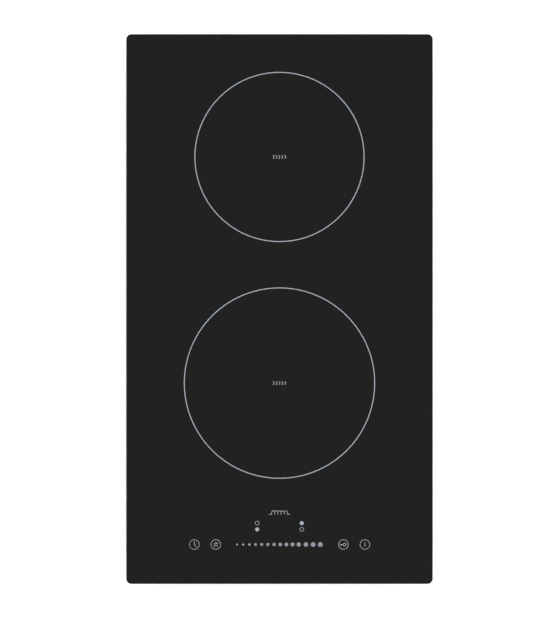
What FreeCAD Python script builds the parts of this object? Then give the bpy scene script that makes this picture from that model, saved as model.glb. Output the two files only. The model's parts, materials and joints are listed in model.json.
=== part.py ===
import FreeCAD, Part
import math
import os

# Two-zone electric induction cooktop for a worktop cut-out.
# Units are millimetres. +X is the user's right, +Y points to the back and +Z is up.
# The origin is the middle of the cooktop on the top surface of the worktop.

Vector = FreeCAD.Vector

# Glass plate
GLASS_WIDTH = 290.0
GLASS_DEPTH = 520.0
GLASS_THICK = 4.0
GLASS_CORNER = 5.0
GLASS_ARRIS = 0.6
SEAL_THICK = 2.0
SEAL_INSET = 1.0
SEAL_BAND = 8.0
GLASS_BASE_Z = SEAL_THICK
GLASS_TOP_Z = GLASS_BASE_Z + GLASS_THICK

# Printed marks, fired into the top of the glass
PRINT_DEPTH = 0.1
RING_LINE = 0.8
ICON_Y = -222.6
ICON_RADIUS = 4.55
ICON_LINE = 0.36
CLOCK_X = -80.5
BOOST_X = -60.2
LOCK_X = 60.5
POWER_X = 80.8
STROKE_LINE = 0.45
DOT_COUNT = 14
DOT_FIRST_X = -40.1
DOT_PITCH = 5.83
DOT_WIDE_PITCH = 6.8
DOT_EVEN_COUNT = 11
DOT_LOW_COUNT = 3
DOT_LOW_FIRST = 1.45
DOT_LOW_STEP = 0.27
DOT_FIRST = 2.5
DOT_STEP = 0.2
INDICATOR_X = 21.1
INDICATOR_ROWS = (-202.4, -208.3)
INDICATOR_RADIUS = 1.83
INDICATOR_LINE = 0.4
SYMBOL_Y = -192.2
SYMBOL_LINE = 0.4
LOOP_RADIUS = 1.5
LOOP_COUNT = 5
LOOP_LEG = 1.85
SYMBOL_LEAD = 2.5
CHEVRON_COLUMNS = 5
CHEVRON_PITCH = 2.75
CHEVRON_HALF_WIDTH = 0.85
CHEVRON_HALF_HEIGHT = 1.75
CHEVRON_LINE = 0.55

# Sheet steel casing that hangs in the cut-out
CASE_WIDTH = 260.0
CASE_DEPTH = 490.0
CASE_CORNER = 8.0
CASE_BASE_Z = -50.0
SHEET = 0.8
CASE_BEND = 1.8
FLANGE = 3.0
ADHESIVE_THICK = 0.5
FLANGE_TOP_Z = GLASS_BASE_Z - ADHESIVE_THICK
FLOOR_Z = CASE_BASE_Z + SHEET
SEAT_GAP = 0.05

# Corner pockets of the casing, where the worktop clamps swing
POCKET_X = 104.0
POCKET_Y = 196.0
POCKET_TOP_Z = -34.0
CLAMP_PIVOT_X = 115.0
CLAMP_PIVOT_Y = 233.0
CLAMP_ARM_Z = -44.0
CLAMP_ARM_THICK = 2.0
CLAMP_ARM_WIDTH = 14.0
CLAMP_REACH = 30.0
CLAMP_LIP = 2.0
CLAMP_SCREW_RADIUS = 1.95
CLAMP_BORE_RADIUS = 2.03
AXIAL_PLAY = 0.1
NUT_NECK_RADIUS = 3.0

# Coil carriers: heights from the glass down
MICA_TOP_Z = GLASS_BASE_Z - 0.2
MICA_THICK = 0.6
WINDING_TOP_Z = MICA_TOP_Z - MICA_THICK
WIRE_RADIUS = 1.2
FORMER_TOP_Z = WINDING_TOP_Z - 2 * WIRE_RADIUS
FORMER_THICK = 3.0
FORMER_BASE_Z = FORMER_TOP_Z - FORMER_THICK
FERRITE_THICK = 4.0
FERRITE_WIDTH = 12.0
WINDING_INNER = 22.0
WINDING_PITCH = 2.6
SPOKES = 8
TRAY_TOP_Z = -14.0
TRAY_THICK = 1.0
TRAY_BASE_Z = TRAY_TOP_Z - TRAY_THICK
PIN_RADIUS = 2.5
PIN_CLEARANCE = 0.3
EAR_OFFSET = 6.0
LEAD_X = 100.0
LEAD_SPACING = 3.0

# Each zone: name, centre along Y, radius of its printed ring, turns of its winding
ZONES = (("rear", 143.8, 80.0, 19), ("front", -70.0, 90.0, 23))

# Tray posts, drawn for M3 screws
POST_X = 118.0
POST_ROWS = (-155.0, 15.0, 185.0)
SCREW_RADIUS = 1.45
SCREW_HEAD_RADIUS = 2.8
SCREW_HEAD = 1.8

# Power board
BOARD_HALF_WIDTH = 108.0
BOARD_FRONT_Y = -112.0
BOARD_BACK_Y = 158.0
BOARD_THICK = 1.6
STANDOFF = 6.0
BOARD_BASE_Z = FLOOR_Z + STANDOFF
BOARD_TOP_Z = BOARD_BASE_Z + BOARD_THICK
STANDOFF_X = 102.0
STANDOFF_ROWS = (-104.0, 35.0, 125.0)
HEATSINK_FRONT_Y = -100.0
HEATSINK_BACK_Y = 60.0
CHIP_THICK = 5.0

# Cooling fan, lying on the floor of the casing
FAN_Y = -160.0
FAN_SIZE = 80.0
FAN_DEEP = 15.0
FAN_DUCT_RADIUS = 38.0
FAN_HOLE_OFFSET = 35.75
FAN_TOP_Z = FLOOR_Z + FAN_DEEP
ROTOR_RADIUS = 17.5
ROTOR_BASE_Z = FLOOR_Z + 1.5
ROTOR_HEIGHT = 10.0
ROTOR_WALL = 1.5
BLADES = 7
SHAFT_RADIUS = 1.5

# Touch control board and its carrier
CONTROL_HALF_WIDTH = 96.0
CONTROL_FRONT_Y = -237.0
CONTROL_BACK_Y = -185.0
CONTROL_TOP_Z = -5.0
CONTROL_BASE_Z = CONTROL_TOP_Z - BOARD_THICK
CARRIER_FLOOR_Z = -12.0
CARRIER_WALL = 1.5
RIBBON_X = 62.0
RIBBON_Y = -200.0

# Terminal compartment for the mains cable, open to the underside
TERMINAL_X = -60.0
TUB_HALF_WIDTH = 32.0
TUB_FRONT_Y = 180.0
TUB_BACK_Y = 232.0
TUB_TOP_Z = -26.0
TUB_WALL = 1.6
TUB_RIM = 5.0
CABLE_Z = -37.0
CABLE_BORE_RADIUS = 5.5
BUSH_RADIUS = 8.0
BUSH_END_Y = CASE_DEPTH / 2 + 3.0
LID_HINGE_Y = 184.0
LID_HINGE_Z = -47.2
LID_PIN_RADIUS = 1.25
LID_BORE_RADIUS = 1.3
LID_BASE_Z = CASE_BASE_Z + 0.4
LID_THICK = 1.6
TERMINAL_COUNT = 5
TERMINAL_PITCH = 9.0
TERMINAL_WIRE_Z = -33.5
BLOCK_FRONT_Y = 199.0
BLOCK_BACK_Y = 219.0


# ---------------------------------------------------------------- shape helpers

def block(x0, x1, y0, y1, z0, z1):
    return Part.makeBox(x1 - x0, y1 - y0, z1 - z0, Vector(x0, y0, z0))


def upright(x, y, z0, z1, radius):
    return Part.makeCylinder(radius, z1 - z0, Vector(x, y, z0))


def upright_tube(x, y, z0, z1, outer, inner):
    return upright(x, y, z0, z1, outer).cut(upright(x, y, z0, z1, inner))


def rod_y(x, z, y0, y1, radius):
    return Part.makeCylinder(radius, y1 - y0, Vector(x, y0, z), Vector(0, 1, 0))


def rod_x(y, z, x0, x1, radius):
    return Part.makeCylinder(radius, x1 - x0, Vector(x0, y, z), Vector(1, 0, 0))


def rounded_plate(width, depth, corner, z0, z1, x=0.0, y=0.0):
    plate = block(x - width / 2, x + width / 2, y - depth / 2, y + depth / 2, z0, z1)
    corners = [e for e in plate.Edges if abs(e.Vertexes[0].Z - e.Vertexes[1].Z) > 1e-6]
    return plate.makeFillet(corner, corners)


def prism(points, z0, z1):
    outline = [Vector(x, y, z0) for x, y in points]
    face = Part.Face(Part.makePolygon(outline + outline[:1]))
    return face.extrude(Vector(0, 0, z1 - z0))


def turned(shape, angle, x=0.0, y=0.0):
    copy = shape.copy()
    copy.rotate(Vector(x, y, 0), Vector(0, 0, 1), angle)
    return copy


def joined(shapes):
    return shapes[0].multiFuse(shapes[1:]).removeSplitter()


def bent_wire(points, bend):
    """Straight runs through the points, joined by tangent arcs of one radius."""
    corners = [Vector(*p) for p in points]
    edges = []
    start = corners[0]
    for before, corner, after in zip(corners, corners[1:], corners[2:]):
        into = (corner - before).normalize()
        out = (after - corner).normalize()
        half_turn = into.getAngle(out) / 2
        setback = bend * math.tan(half_turn)
        arc_start = corner - into * setback
        arc_end = corner + out * setback
        inward = (out - into).normalize()
        middle = corner + inward * (bend / math.cos(half_turn) - bend)
        edges.append(Part.LineSegment(start, arc_start).toShape())
        edges.append(Part.Arc(arc_start, middle, arc_end).toShape())
        start = arc_end
    edges.append(Part.LineSegment(start, corners[-1]).toShape())
    return Part.Wire(edges)


def round_section(centre, heading, radius):
    """A wire's section square to its heading, as an eight-sided outline of that radius."""
    side = heading.cross(Vector(0, 0, 1))
    side = side.normalize() if side.Length > 0.1 else Vector(1, 0, 0)
    rise = side.cross(heading).normalize()
    turns = [math.radians(45 * i + 22.5) for i in range(8)]
    points = [centre + side * (radius * math.cos(a)) + rise * (radius * math.sin(a)) for a in turns]
    return Part.makePolygon(points + points[:1])


def wire_along(path, radius):
    first = path.Edges[0]
    start = first.valueAt(first.FirstParameter)
    heading = first.tangentAt(first.FirstParameter)
    return path.makePipeShell([round_section(start, heading, radius)], True, False)


def coil_spring(x, y, z0, z1, radius, wire, turns):
    height = z1 - z0 - 2 * wire
    helix = Part.makeHelix(height / turns, height, radius)
    section = round_section(Vector(radius, 0, 0), Vector(0, 1, 0), wire)
    spring = Part.Wire(helix).makePipeShell([section], True, True)
    spring.translate(Vector(x, y, z0 + wire))
    return spring


def screw(x, y, seat_z, length, up=False, radius=SCREW_RADIUS, head=SCREW_HEAD_RADIUS):
    """A pan-head screw whose head sits on seat_z; it points down, or up from below."""
    shank = upright(x, y, seat_z - length, seat_z, radius)
    cap = upright(x, y, seat_z, seat_z + SCREW_HEAD, head)
    rim = [e for e in cap.Edges if abs(e.BoundBox.ZMin - seat_z - SCREW_HEAD) < 1e-6]
    cap = cap.makeFillet(0.6, [e for e in rim if e.BoundBox.ZLength < 1e-6])
    for angle in (45, 135):
        slot = block(x - 0.35, x + 0.35, y - 0.6 * head, y + 0.6 * head,
                     seat_z + SCREW_HEAD - 0.9, seat_z + SCREW_HEAD)
        cap = cap.cut(turned(slot, angle, x, y))
    whole = cap.fuse(shank)
    if up:
        whole.rotate(Vector(x, y, seat_z), Vector(1, 0, 0), 180)
    return whole


def corners_of(x, y):
    return [(sx * x, sy * y) for sy in (-1, 1) for sx in (-1, 1)]


# ---------------------------------------------------------------- printed marks

def mark_disc(x, y, radius):
    return upright(x, y, GLASS_TOP_Z - PRINT_DEPTH, GLASS_TOP_Z, radius)


def mark_ring(x, y, radius, line):
    return mark_disc(x, y, radius + line / 2).cut(mark_disc(x, y, radius - line / 2))


def mark_outline(points):
    return prism(points, GLASS_TOP_Z - PRINT_DEPTH, GLASS_TOP_Z)


def mark_stroke(x0, y0, x1, y1, line):
    """A straight stroke with round ends."""
    length = math.hypot(x1 - x0, y1 - y0)
    side_x = (y0 - y1) / length * line / 2
    side_y = (x1 - x0) / length * line / 2
    bar = mark_outline([(x0 + side_x, y0 + side_y), (x0 - side_x, y0 - side_y),
                        (x1 - side_x, y1 - side_y), (x1 + side_x, y1 + side_y)])
    return joined([bar, mark_disc(x0, y0, line / 2), mark_disc(x1, y1, line / 2)])


def mark_chevron(x, y, half_width, rise, weight):
    low = y - (rise + weight) / 2
    return mark_outline([(x - half_width, low), (x, low + rise), (x + half_width, low),
                         (x + half_width, low + weight), (x, low + rise + weight),
                         (x - half_width, low + weight)])


def power_chevrons(centre_y):
    """The full-power mark: a row of chevrons that point right, in the middle of a zone."""
    low, high = centre_y - CHEVRON_HALF_HEIGHT, centre_y + CHEVRON_HALF_HEIGHT
    marks = []
    for column in range(CHEVRON_COLUMNS):
        x = (column - (CHEVRON_COLUMNS - 1) / 2) * CHEVRON_PITCH
        back, tip = x - CHEVRON_HALF_WIDTH, x + CHEVRON_HALF_WIDTH
        marks.append(mark_outline([(back, high), (tip - CHEVRON_LINE, centre_y), (back, low),
                                   (back + CHEVRON_LINE, low), (tip, centre_y),
                                   (back + CHEVRON_LINE, high)]))
    return marks


def zone_print():
    marks = []
    for _, centre_y, ring_radius, _ in ZONES:
        marks.append(mark_ring(0, centre_y, ring_radius, RING_LINE))
        marks += power_chevrons(centre_y)
    return Part.makeCompound(marks)


def dot_diameter(i):
    """The first dots are the smallest; the others grow evenly to the right."""
    if i < DOT_LOW_COUNT:
        return DOT_LOW_FIRST + DOT_LOW_STEP * i
    return DOT_FIRST + DOT_STEP * (i - DOT_LOW_COUNT)


def slider_dots():
    dots = []
    x = DOT_FIRST_X
    for i in range(DOT_COUNT):
        dots.append(mark_disc(x, ICON_Y, dot_diameter(i) / 2))
        x += DOT_PITCH if i + 1 < DOT_EVEN_COUNT else DOT_WIDE_PITCH
    return dots


def zone_indicators():
    """Two lamps a side: a filled dot for the zone that is set, a ring for the other."""
    marks = []
    for side in (-1, 1):
        for row, y in zip((1, -1), INDICATOR_ROWS):
            if side == row:
                marks.append(mark_disc(side * INDICATOR_X, y, INDICATOR_RADIUS))
            else:
                marks.append(mark_ring(side * INDICATOR_X, y, INDICATOR_RADIUS, INDICATOR_LINE))
    return marks


def coil_symbol():
    """A generic winding symbol: a row of loops between two leads."""
    foot_y = SYMBOL_Y - LOOP_LEG
    arch_y = foot_y + LOOP_LEG
    first_x = -LOOP_COUNT * LOOP_RADIUS
    pieces = []
    for i in range(LOOP_COUNT):
        x = first_x + (2 * i + 1) * LOOP_RADIUS
        arch = mark_ring(x, arch_y, LOOP_RADIUS, SYMBOL_LINE)
        lower = block(x - 2, x + 2, arch_y - 2, arch_y, GLASS_BASE_Z, GLASS_TOP_Z + 1)
        pieces.append(arch.cut(lower))
    for i in range(LOOP_COUNT + 1):
        x = first_x + 2 * i * LOOP_RADIUS
        pieces.append(mark_stroke(x, foot_y, x, arch_y, SYMBOL_LINE))
    for side in (-1, 1):
        inner_x = -side * first_x
        pieces.append(mark_stroke(inner_x, foot_y, inner_x + side * SYMBOL_LEAD, foot_y,
                                  SYMBOL_LINE))
    return joined(pieces)


def clock_icon():
    hands = [mark_stroke(CLOCK_X, ICON_Y + 0.2, CLOCK_X, ICON_Y + 2.9, STROKE_LINE),
             mark_stroke(CLOCK_X, ICON_Y + 0.2, CLOCK_X + 1.6, ICON_Y - 2.1, STROKE_LINE)]
    return joined(hands)


def lock_icon():
    bow_x = LOCK_X + 1.1
    bow = mark_ring(bow_x, ICON_Y, 1.3, STROKE_LINE)
    stem = mark_stroke(LOCK_X - 2.9, ICON_Y, bow_x - 1.3, ICON_Y, STROKE_LINE)
    bits = [mark_stroke(x, ICON_Y, x, ICON_Y - 0.9, STROKE_LINE)
            for x in (LOCK_X - 2.8, LOCK_X - 1.9)]
    return joined([bow, stem] + bits)


def control_print():
    marks = [mark_ring(x, ICON_Y, ICON_RADIUS, ICON_LINE)
             for x in (CLOCK_X, BOOST_X, LOCK_X, POWER_X)]
    marks.append(clock_icon())
    for lift in (-1.1, 1.1):
        marks.append(mark_chevron(BOOST_X, ICON_Y + lift, 1.9, 1.6, 0.6))
    marks.append(lock_icon())
    marks.append(mark_stroke(POWER_X, ICON_Y - 1.7, POWER_X, ICON_Y + 1.7, STROKE_LINE))
    marks += slider_dots() + zone_indicators()
    marks.append(coil_symbol())
    return Part.makeCompound(marks)


# ---------------------------------------------------------------- glass and casing

def glass_plate(marks):
    glass = rounded_plate(GLASS_WIDTH, GLASS_DEPTH, GLASS_CORNER, GLASS_BASE_Z, GLASS_TOP_Z)
    edges = [e for e in glass.Edges if e.BoundBox.ZLength < 1e-6]
    glass = glass.makeChamfer(GLASS_ARRIS, edges)
    return glass.cut(Part.makeCompound([s for m in marks for s in m.Solids]))


def worktop_seal():
    width = GLASS_WIDTH - 2 * SEAL_INSET
    depth = GLASS_DEPTH - 2 * SEAL_INSET
    corner = GLASS_CORNER - SEAL_INSET
    outer = rounded_plate(width, depth, corner, 0, SEAL_THICK)
    inner = rounded_plate(width - 2 * SEAL_BAND, depth - 2 * SEAL_BAND, 2.0, 0, SEAL_THICK)
    return outer.cut(inner)


def glass_adhesive():
    outer = rounded_plate(CASE_WIDTH + 2 * FLANGE, CASE_DEPTH + 2 * FLANGE, CASE_CORNER + FLANGE,
                          FLANGE_TOP_Z, GLASS_BASE_Z)
    inner = rounded_plate(CASE_WIDTH - 2 * SHEET, CASE_DEPTH - 2 * SHEET, CASE_CORNER - SHEET,
                          FLANGE_TOP_Z, GLASS_BASE_Z)
    return outer.cut(inner)


def folded_box(width, depth, corner, bend, z0, z1):
    """A box with rounded upright corners and bent lower edges, as sheet metal folds."""
    body = rounded_plate(width, depth, corner, z0, z1)
    return body.makeFillet(bend, [e for e in body.Edges if abs(e.BoundBox.ZMax - z0) < 1e-6])


def pocket_at(sx, sy, grown):
    """One corner pocket, or the inside of its sheet wall when grown by the sheet."""
    x0, x1 = sorted((sx * (POCKET_X - grown), sx * CASE_WIDTH))
    y0, y1 = sorted((sy * (POCKET_Y - grown), sy * CASE_DEPTH))
    return block(x0, x1, y0, y1, CASE_BASE_Z - 1, POCKET_TOP_Z + grown)


def slot(x, y, length, width, z0, z1, across):
    """An upright cutter for a slot with round ends, along X or, if across, along Y."""
    half = (length - width) / 2
    bar = block(x - half, x + half, y - width / 2, y + width / 2, z0, z1)
    ends = [upright(x + s * half, y, z0, z1, width / 2) for s in (-1, 1)]
    whole = joined([bar] + ends)
    return turned(whole, 90, x, y) if across else whole


def intake_slots():
    """Slots in the floor under the fan, fitted inside the circle of its duct."""
    cutters = []
    pitch = 7.0
    for i in range(-5, 6):
        y = FAN_Y + i * pitch
        chord = 2 * math.sqrt(FAN_DUCT_RADIUS ** 2 - (i * pitch) ** 2) - 6.0
        for side in (-1, 1):
            length = chord / 2 - 2.0
            cutters.append(slot(side * (length / 2 + 2.0), y, length, 4.0,
                                CASE_BASE_Z - 1, FLOOR_Z + 1, False))
    return cutters


def wall_vents():
    """Upright slots through the rear and front walls, and long ones through the sides."""
    cutters = []
    for i in range(14):
        x = 8.0 + 6.6 * i
        half_wall = CASE_DEPTH / 2
        cutters.append(block(x - 1.5, x + 1.5, half_wall - 3, half_wall + 1, -30.0, -12.0))
        cutters.append(block(-x - 1.5, -x + 1.5, -half_wall - 1, 3 - half_wall, -30.0, -14.0))
    for side in (-1, 1):
        for i in range(16):
            y = -120.0 + 16.0 * i
            x0, x1 = sorted((side * (CASE_WIDTH / 2 - 3), side * (CASE_WIDTH / 2 + 1)))
            cutters.append(block(x0, x1, y - 5.5, y + 5.5, -27.0, -24.0))
            cutters.append(block(x0, x1, y - 5.5, y + 5.5, -20.0, -17.0))
    return cutters


def floor_beads(grown):
    """Stiffening beads pressed up into the floor, between the board's standoffs."""
    beads = []
    for y in (-75.0, -20.0, 90.0, 145.0):
        top = CASE_BASE_Z + 1.2 + grown
        beads.append(rounded_plate(170 + 2 * grown, 9 + 2 * grown, 4.0 + grown,
                                   CASE_BASE_Z - 1 + grown, top, 0, y))
    return beads


def casing():
    outer = folded_box(CASE_WIDTH, CASE_DEPTH, CASE_CORNER, CASE_BEND, CASE_BASE_Z, FLANGE_TOP_Z)
    inner = folded_box(CASE_WIDTH - 2 * SHEET, CASE_DEPTH - 2 * SHEET, CASE_CORNER - SHEET,
                       CASE_BEND - SHEET, FLOOR_Z, FLANGE_TOP_Z)
    signs = corners_of(1, 1)
    outer = outer.cut(Part.makeCompound([pocket_at(sx, sy, 0.0) for sx, sy in signs]))
    inner = inner.cut(Part.makeCompound([pocket_at(sx, sy, SHEET) for sx, sy in signs]))
    flange = rounded_plate(CASE_WIDTH + 2 * FLANGE, CASE_DEPTH + 2 * FLANGE,
                           CASE_CORNER + FLANGE, FLANGE_TOP_Z - SHEET, FLANGE_TOP_Z)
    shell = outer.fuse(flange).cut(inner)
    shell = shell.multiFuse([b.common(inner) for b in floor_beads(SHEET)])
    cutters = floor_beads(0.0) + intake_slots() + wall_vents()
    cutters.append(block(TERMINAL_X - TUB_HALF_WIDTH, TERMINAL_X + TUB_HALF_WIDTH,
                         TUB_FRONT_Y, TUB_BACK_Y, CASE_BASE_Z - 1, FLOOR_Z + 1))
    cutters.append(rod_y(TERMINAL_X, CABLE_Z, CASE_DEPTH / 2 - 3, CASE_DEPTH / 2 + 1,
                         BUSH_RADIUS + SEAT_GAP))
    for x, y in corners_of(CLAMP_PIVOT_X, CLAMP_PIVOT_Y):
        cutters.append(upright(x, y, POCKET_TOP_Z - 1, POCKET_TOP_Z + SHEET + 1,
                               NUT_NECK_RADIUS + SEAT_GAP))
    return shell.cut(Part.makeCompound(cutters)).removeSplitter()


# ---------------------------------------------------------------- worktop clamps

def clamp_arm(sx, sy):
    """A clamp arm on its sleeve, stowed along the side of the casing."""
    arm_top = CLAMP_ARM_Z + CLAMP_ARM_THICK
    half = CLAMP_ARM_WIDTH / 2
    strip = block(-half, half, 0, CLAMP_REACH, CLAMP_ARM_Z, arm_top)
    heel = upright(0, 0, CLAMP_ARM_Z, arm_top, half)
    lip = block(-half, half, CLAMP_REACH - 2, CLAMP_REACH, arm_top, arm_top + CLAMP_LIP)
    for i in range(3):
        notch = block(-half + 2.5 + 4 * i, -half + 3.5 + 4 * i, CLAMP_REACH - 3,
                      CLAMP_REACH + 1, arm_top + 1.0, arm_top + CLAMP_LIP + 1)
        lip = lip.cut(notch)
    sleeve = upright(0, 0, arm_top, POCKET_TOP_Z - AXIAL_PLAY, 4.0)
    arm = joined([strip, heel, lip, sleeve])
    arm = arm.cut(upright(0, 0, CLAMP_ARM_Z - 1, POCKET_TOP_Z, CLAMP_BORE_RADIUS))
    if sy > 0:
        arm.rotate(Vector(0, 0, 0), Vector(0, 0, 1), 180)
    arm.translate(Vector(sx * CLAMP_PIVOT_X, sy * CLAMP_PIVOT_Y, 0))
    return arm


def clamp_screws():
    return Part.makeCompound([screw(x, y, CLAMP_ARM_Z - AXIAL_PLAY, 16.0, True,
                                    CLAMP_SCREW_RADIUS, 4.0)
                              for x, y in corners_of(CLAMP_PIVOT_X, CLAMP_PIVOT_Y)])


def clamp_nuts():
    nuts = []
    sheet_top = POCKET_TOP_Z + SHEET
    for x, y in corners_of(CLAMP_PIVOT_X, CLAMP_PIVOT_Y):
        body = upright(x, y, sheet_top, sheet_top + 6.0, 4.5)
        neck = upright(x, y, POCKET_TOP_Z, sheet_top, NUT_NECK_RADIUS)
        nuts.append(body.fuse(neck).cut(upright(x, y, POCKET_TOP_Z, sheet_top + 6.0, 2.0)))
    return Part.makeCompound(nuts)


# ---------------------------------------------------------------- coil tray and coils

def winding_radius(turns):
    return WINDING_INNER + turns * WINDING_PITCH + WIRE_RADIUS


def rim_radius(turns):
    return winding_radius(turns) + 2.4


def ear_places(centre_y, turns):
    reach = rim_radius(turns) + EAR_OFFSET
    diagonal = reach * math.cos(math.radians(45))
    return [(x, centre_y + y) for x, y in corners_of(diagonal, diagonal)]


def coil_tray():
    front_y = -166.0
    back_y = 238.0
    half_width = 126.0
    depth = back_y - front_y
    middle_y = (front_y + back_y) / 2
    plate = rounded_plate(2 * half_width, depth, 5.0, TRAY_BASE_Z, TRAY_TOP_Z, 0, middle_y)
    lips = []
    for side in (-1, 1):
        x0, x1 = sorted((side * half_width, side * (half_width - TRAY_THICK)))
        lips.append(block(x0, x1, front_y + 8, back_y - 8, TRAY_BASE_Z - 6.0, TRAY_BASE_Z))
    tray = joined([plate] + lips)
    cutters = []
    for side in (-1, 1):
        for y in POST_ROWS:
            cutters.append(upright(side * POST_X, y, TRAY_BASE_Z - 1, TRAY_TOP_Z + 1, 1.7))
    for _, centre_y, _, turns in ZONES:
        for x, y in ear_places(centre_y, turns):
            cutters.append(upright(x, y, TRAY_BASE_Z - 1, TRAY_TOP_Z + 1,
                                   PIN_RADIUS + SEAT_GAP))
        cutters.append(slot(LEAD_X, centre_y, 20.0, 8.0, TRAY_BASE_Z - 1, TRAY_TOP_Z + 1, True))
        cutters.append(upright(0, centre_y, TRAY_BASE_Z - 1, TRAY_TOP_Z + 1, 12.0))
        for i in range(SPOKES):
            vent = slot(45.0, centre_y, 36.0, 9.0, TRAY_BASE_Z - 1, TRAY_TOP_Z + 1, False)
            cutters.append(turned(vent, 360.0 / SPOKES * (i + 0.5), 0, centre_y))
    return tray.cut(Part.makeCompound(cutters))


def tray_posts():
    posts = []
    for side in (-1, 1):
        for y in POST_ROWS:
            x = side * POST_X
            post = upright(x, y, FLOOR_Z, TRAY_BASE_Z, 4.0)
            posts.append(post.cut(upright(x, y, TRAY_BASE_Z - 12.0, TRAY_BASE_Z, SCREW_RADIUS)))
    return Part.makeCompound(posts)


def coil_guide_pins():
    pins = []
    for _, centre_y, _, turns in ZONES:
        for x, y in ear_places(centre_y, turns):
            pin = upright(x, y, TRAY_BASE_Z, -0.4, PIN_RADIUS)
            head = upright(x, y, TRAY_BASE_Z - 1.0, TRAY_BASE_Z, 4.0)
            pins.append(pin.fuse(head))
    return Part.makeCompound(pins)


def coil_former(centre_y, turns):
    """A spoked plastic wheel that carries the winding, with channels for the ferrites."""
    outer = rim_radius(turns)
    hub = upright(0, centre_y, FORMER_BASE_Z, FORMER_TOP_Z, WINDING_INNER - 1.5)
    hub_wall = upright_tube(0, centre_y, FORMER_TOP_Z, WINDING_TOP_Z, WINDING_INNER - 1.7,
                            WINDING_INNER - 3.5)
    rim = upright_tube(0, centre_y, FORMER_BASE_Z, WINDING_TOP_Z, outer, outer - 2.0)
    pieces = [hub, hub_wall, rim]
    spoke_half = FERRITE_WIDTH / 2 + 1.3
    for i in range(SPOKES):
        angle = 360.0 / SPOKES * i
        spoke = block(15.0, outer - 1.0, centre_y - spoke_half, centre_y + spoke_half,
                      FORMER_BASE_Z, FORMER_TOP_Z)
        pieces.append(turned(spoke, angle, 0, centre_y))
        for side in (-1, 1):
            y0, y1 = sorted((side * (FERRITE_WIDTH / 2 + 0.1), side * spoke_half))
            cheek = block(24.0, winding_radius(turns) - 4.0, centre_y + y0, centre_y + y1,
                          FORMER_BASE_Z - FERRITE_THICK, FORMER_BASE_Z)
            pieces.append(turned(cheek, angle, 0, centre_y))
    ears = ear_places(centre_y, turns)
    for x, y in ears:
        pieces.append(upright(x, y, FORMER_BASE_Z, FORMER_TOP_Z, 7.0))
    former = joined(pieces)
    holes = [upright(x, y, FORMER_BASE_Z - 1, FORMER_TOP_Z + 1, PIN_RADIUS + PIN_CLEARANCE)
             for x, y in ears]
    holes.append(upright(0, centre_y, FORMER_BASE_Z - 5, FORMER_TOP_Z + 1, 8.0))
    return former.cut(Part.makeCompound(holes))


def coil_winding(centre_y, turns):
    """A flat spiral of stranded wire, made of half turns about two alternate centres."""
    z = FORMER_TOP_Z + WIRE_RADIUS
    x = WINDING_INNER
    edges = []
    for half_turn in range(2 * turns):
        side = 1 if half_turn % 2 == 0 else -1
        radius = WINDING_INNER + half_turn * WINDING_PITCH / 2 + WINDING_PITCH / 4
        centre_x = x - side * radius
        end_x = centre_x - side * radius
        edges.append(Part.Arc(Vector(x, centre_y, z), Vector(centre_x, centre_y + side * radius, z),
                              Vector(end_x, centre_y, z)).toShape())
        x = end_x
    return wire_along(Part.Wire(edges), WIRE_RADIUS)


def coil_ferrites(centre_y, turns):
    bars = []
    for i in range(SPOKES):
        bar = block(24.0, winding_radius(turns) - 4.0, centre_y - FERRITE_WIDTH / 2,
                    centre_y + FERRITE_WIDTH / 2, FORMER_BASE_Z - FERRITE_THICK, FORMER_BASE_Z)
        bars.append(turned(bar, 360.0 / SPOKES * i, 0, centre_y))
    return Part.makeCompound(bars)


def mica_sheet(centre_y, turns):
    return upright_tube(0, centre_y, WINDING_TOP_Z, MICA_TOP_Z, winding_radius(turns) + 1.5, 6.0)


def temperature_sensor(centre_y):
    """The spring-loaded sensor in the hub, which touches the glass through the mica."""
    body = upright(0, centre_y, FORMER_BASE_Z - 4.0, MICA_TOP_Z, 5.0)
    collar = upright(0, centre_y, FORMER_TOP_Z, FORMER_TOP_Z + 1.0, 10.0)
    return body.fuse(collar)


def coil_springs(centre_y, turns):
    return Part.makeCompound([coil_spring(x, y, TRAY_TOP_Z, FORMER_BASE_Z, 4.2, 0.45, 4.5)
                              for x, y in ear_places(centre_y, turns)])


def coil_leads(centre_y, turns):
    """The winding's two ends, from the rim through the tray down to the power board."""
    z = FORMER_BASE_Z + FORMER_THICK / 2
    leads = []
    for side in (-1, 1):
        y = centre_y + side * LEAD_SPACING
        path = bent_wire([(rim_radius(turns) + 0.3, y, z), (LEAD_X, y, z),
                          (LEAD_X, y, BOARD_TOP_Z + 7.0)], 8.0)
        leads.append(wire_along(path, WIRE_RADIUS))
    return Part.makeCompound(leads)


# ---------------------------------------------------------------- power electronics

def standoff_places():
    return [(side * STANDOFF_X, y) for y in STANDOFF_ROWS for side in (-1, 1)]


def power_board():
    board = block(-BOARD_HALF_WIDTH, BOARD_HALF_WIDTH, BOARD_FRONT_Y, BOARD_BACK_Y,
                  BOARD_BASE_Z, BOARD_TOP_Z)
    holes = [upright(x, y, BOARD_BASE_Z - 1, BOARD_TOP_Z + 1, 1.6) for x, y in standoff_places()]
    return board.cut(Part.makeCompound(holes))


def board_standoffs():
    pillars = []
    for x, y in standoff_places():
        points = [(x + 3.4 * math.cos(math.radians(60 * i)), y + 3.4 * math.sin(math.radians(60 * i)))
                  for i in range(6)]
        pillar = prism(points, FLOOR_Z, BOARD_BASE_Z)
        pillars.append(pillar.cut(upright(x, y, FLOOR_Z, BOARD_BASE_Z, SCREW_RADIUS)))
    return Part.makeCompound(pillars)


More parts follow.
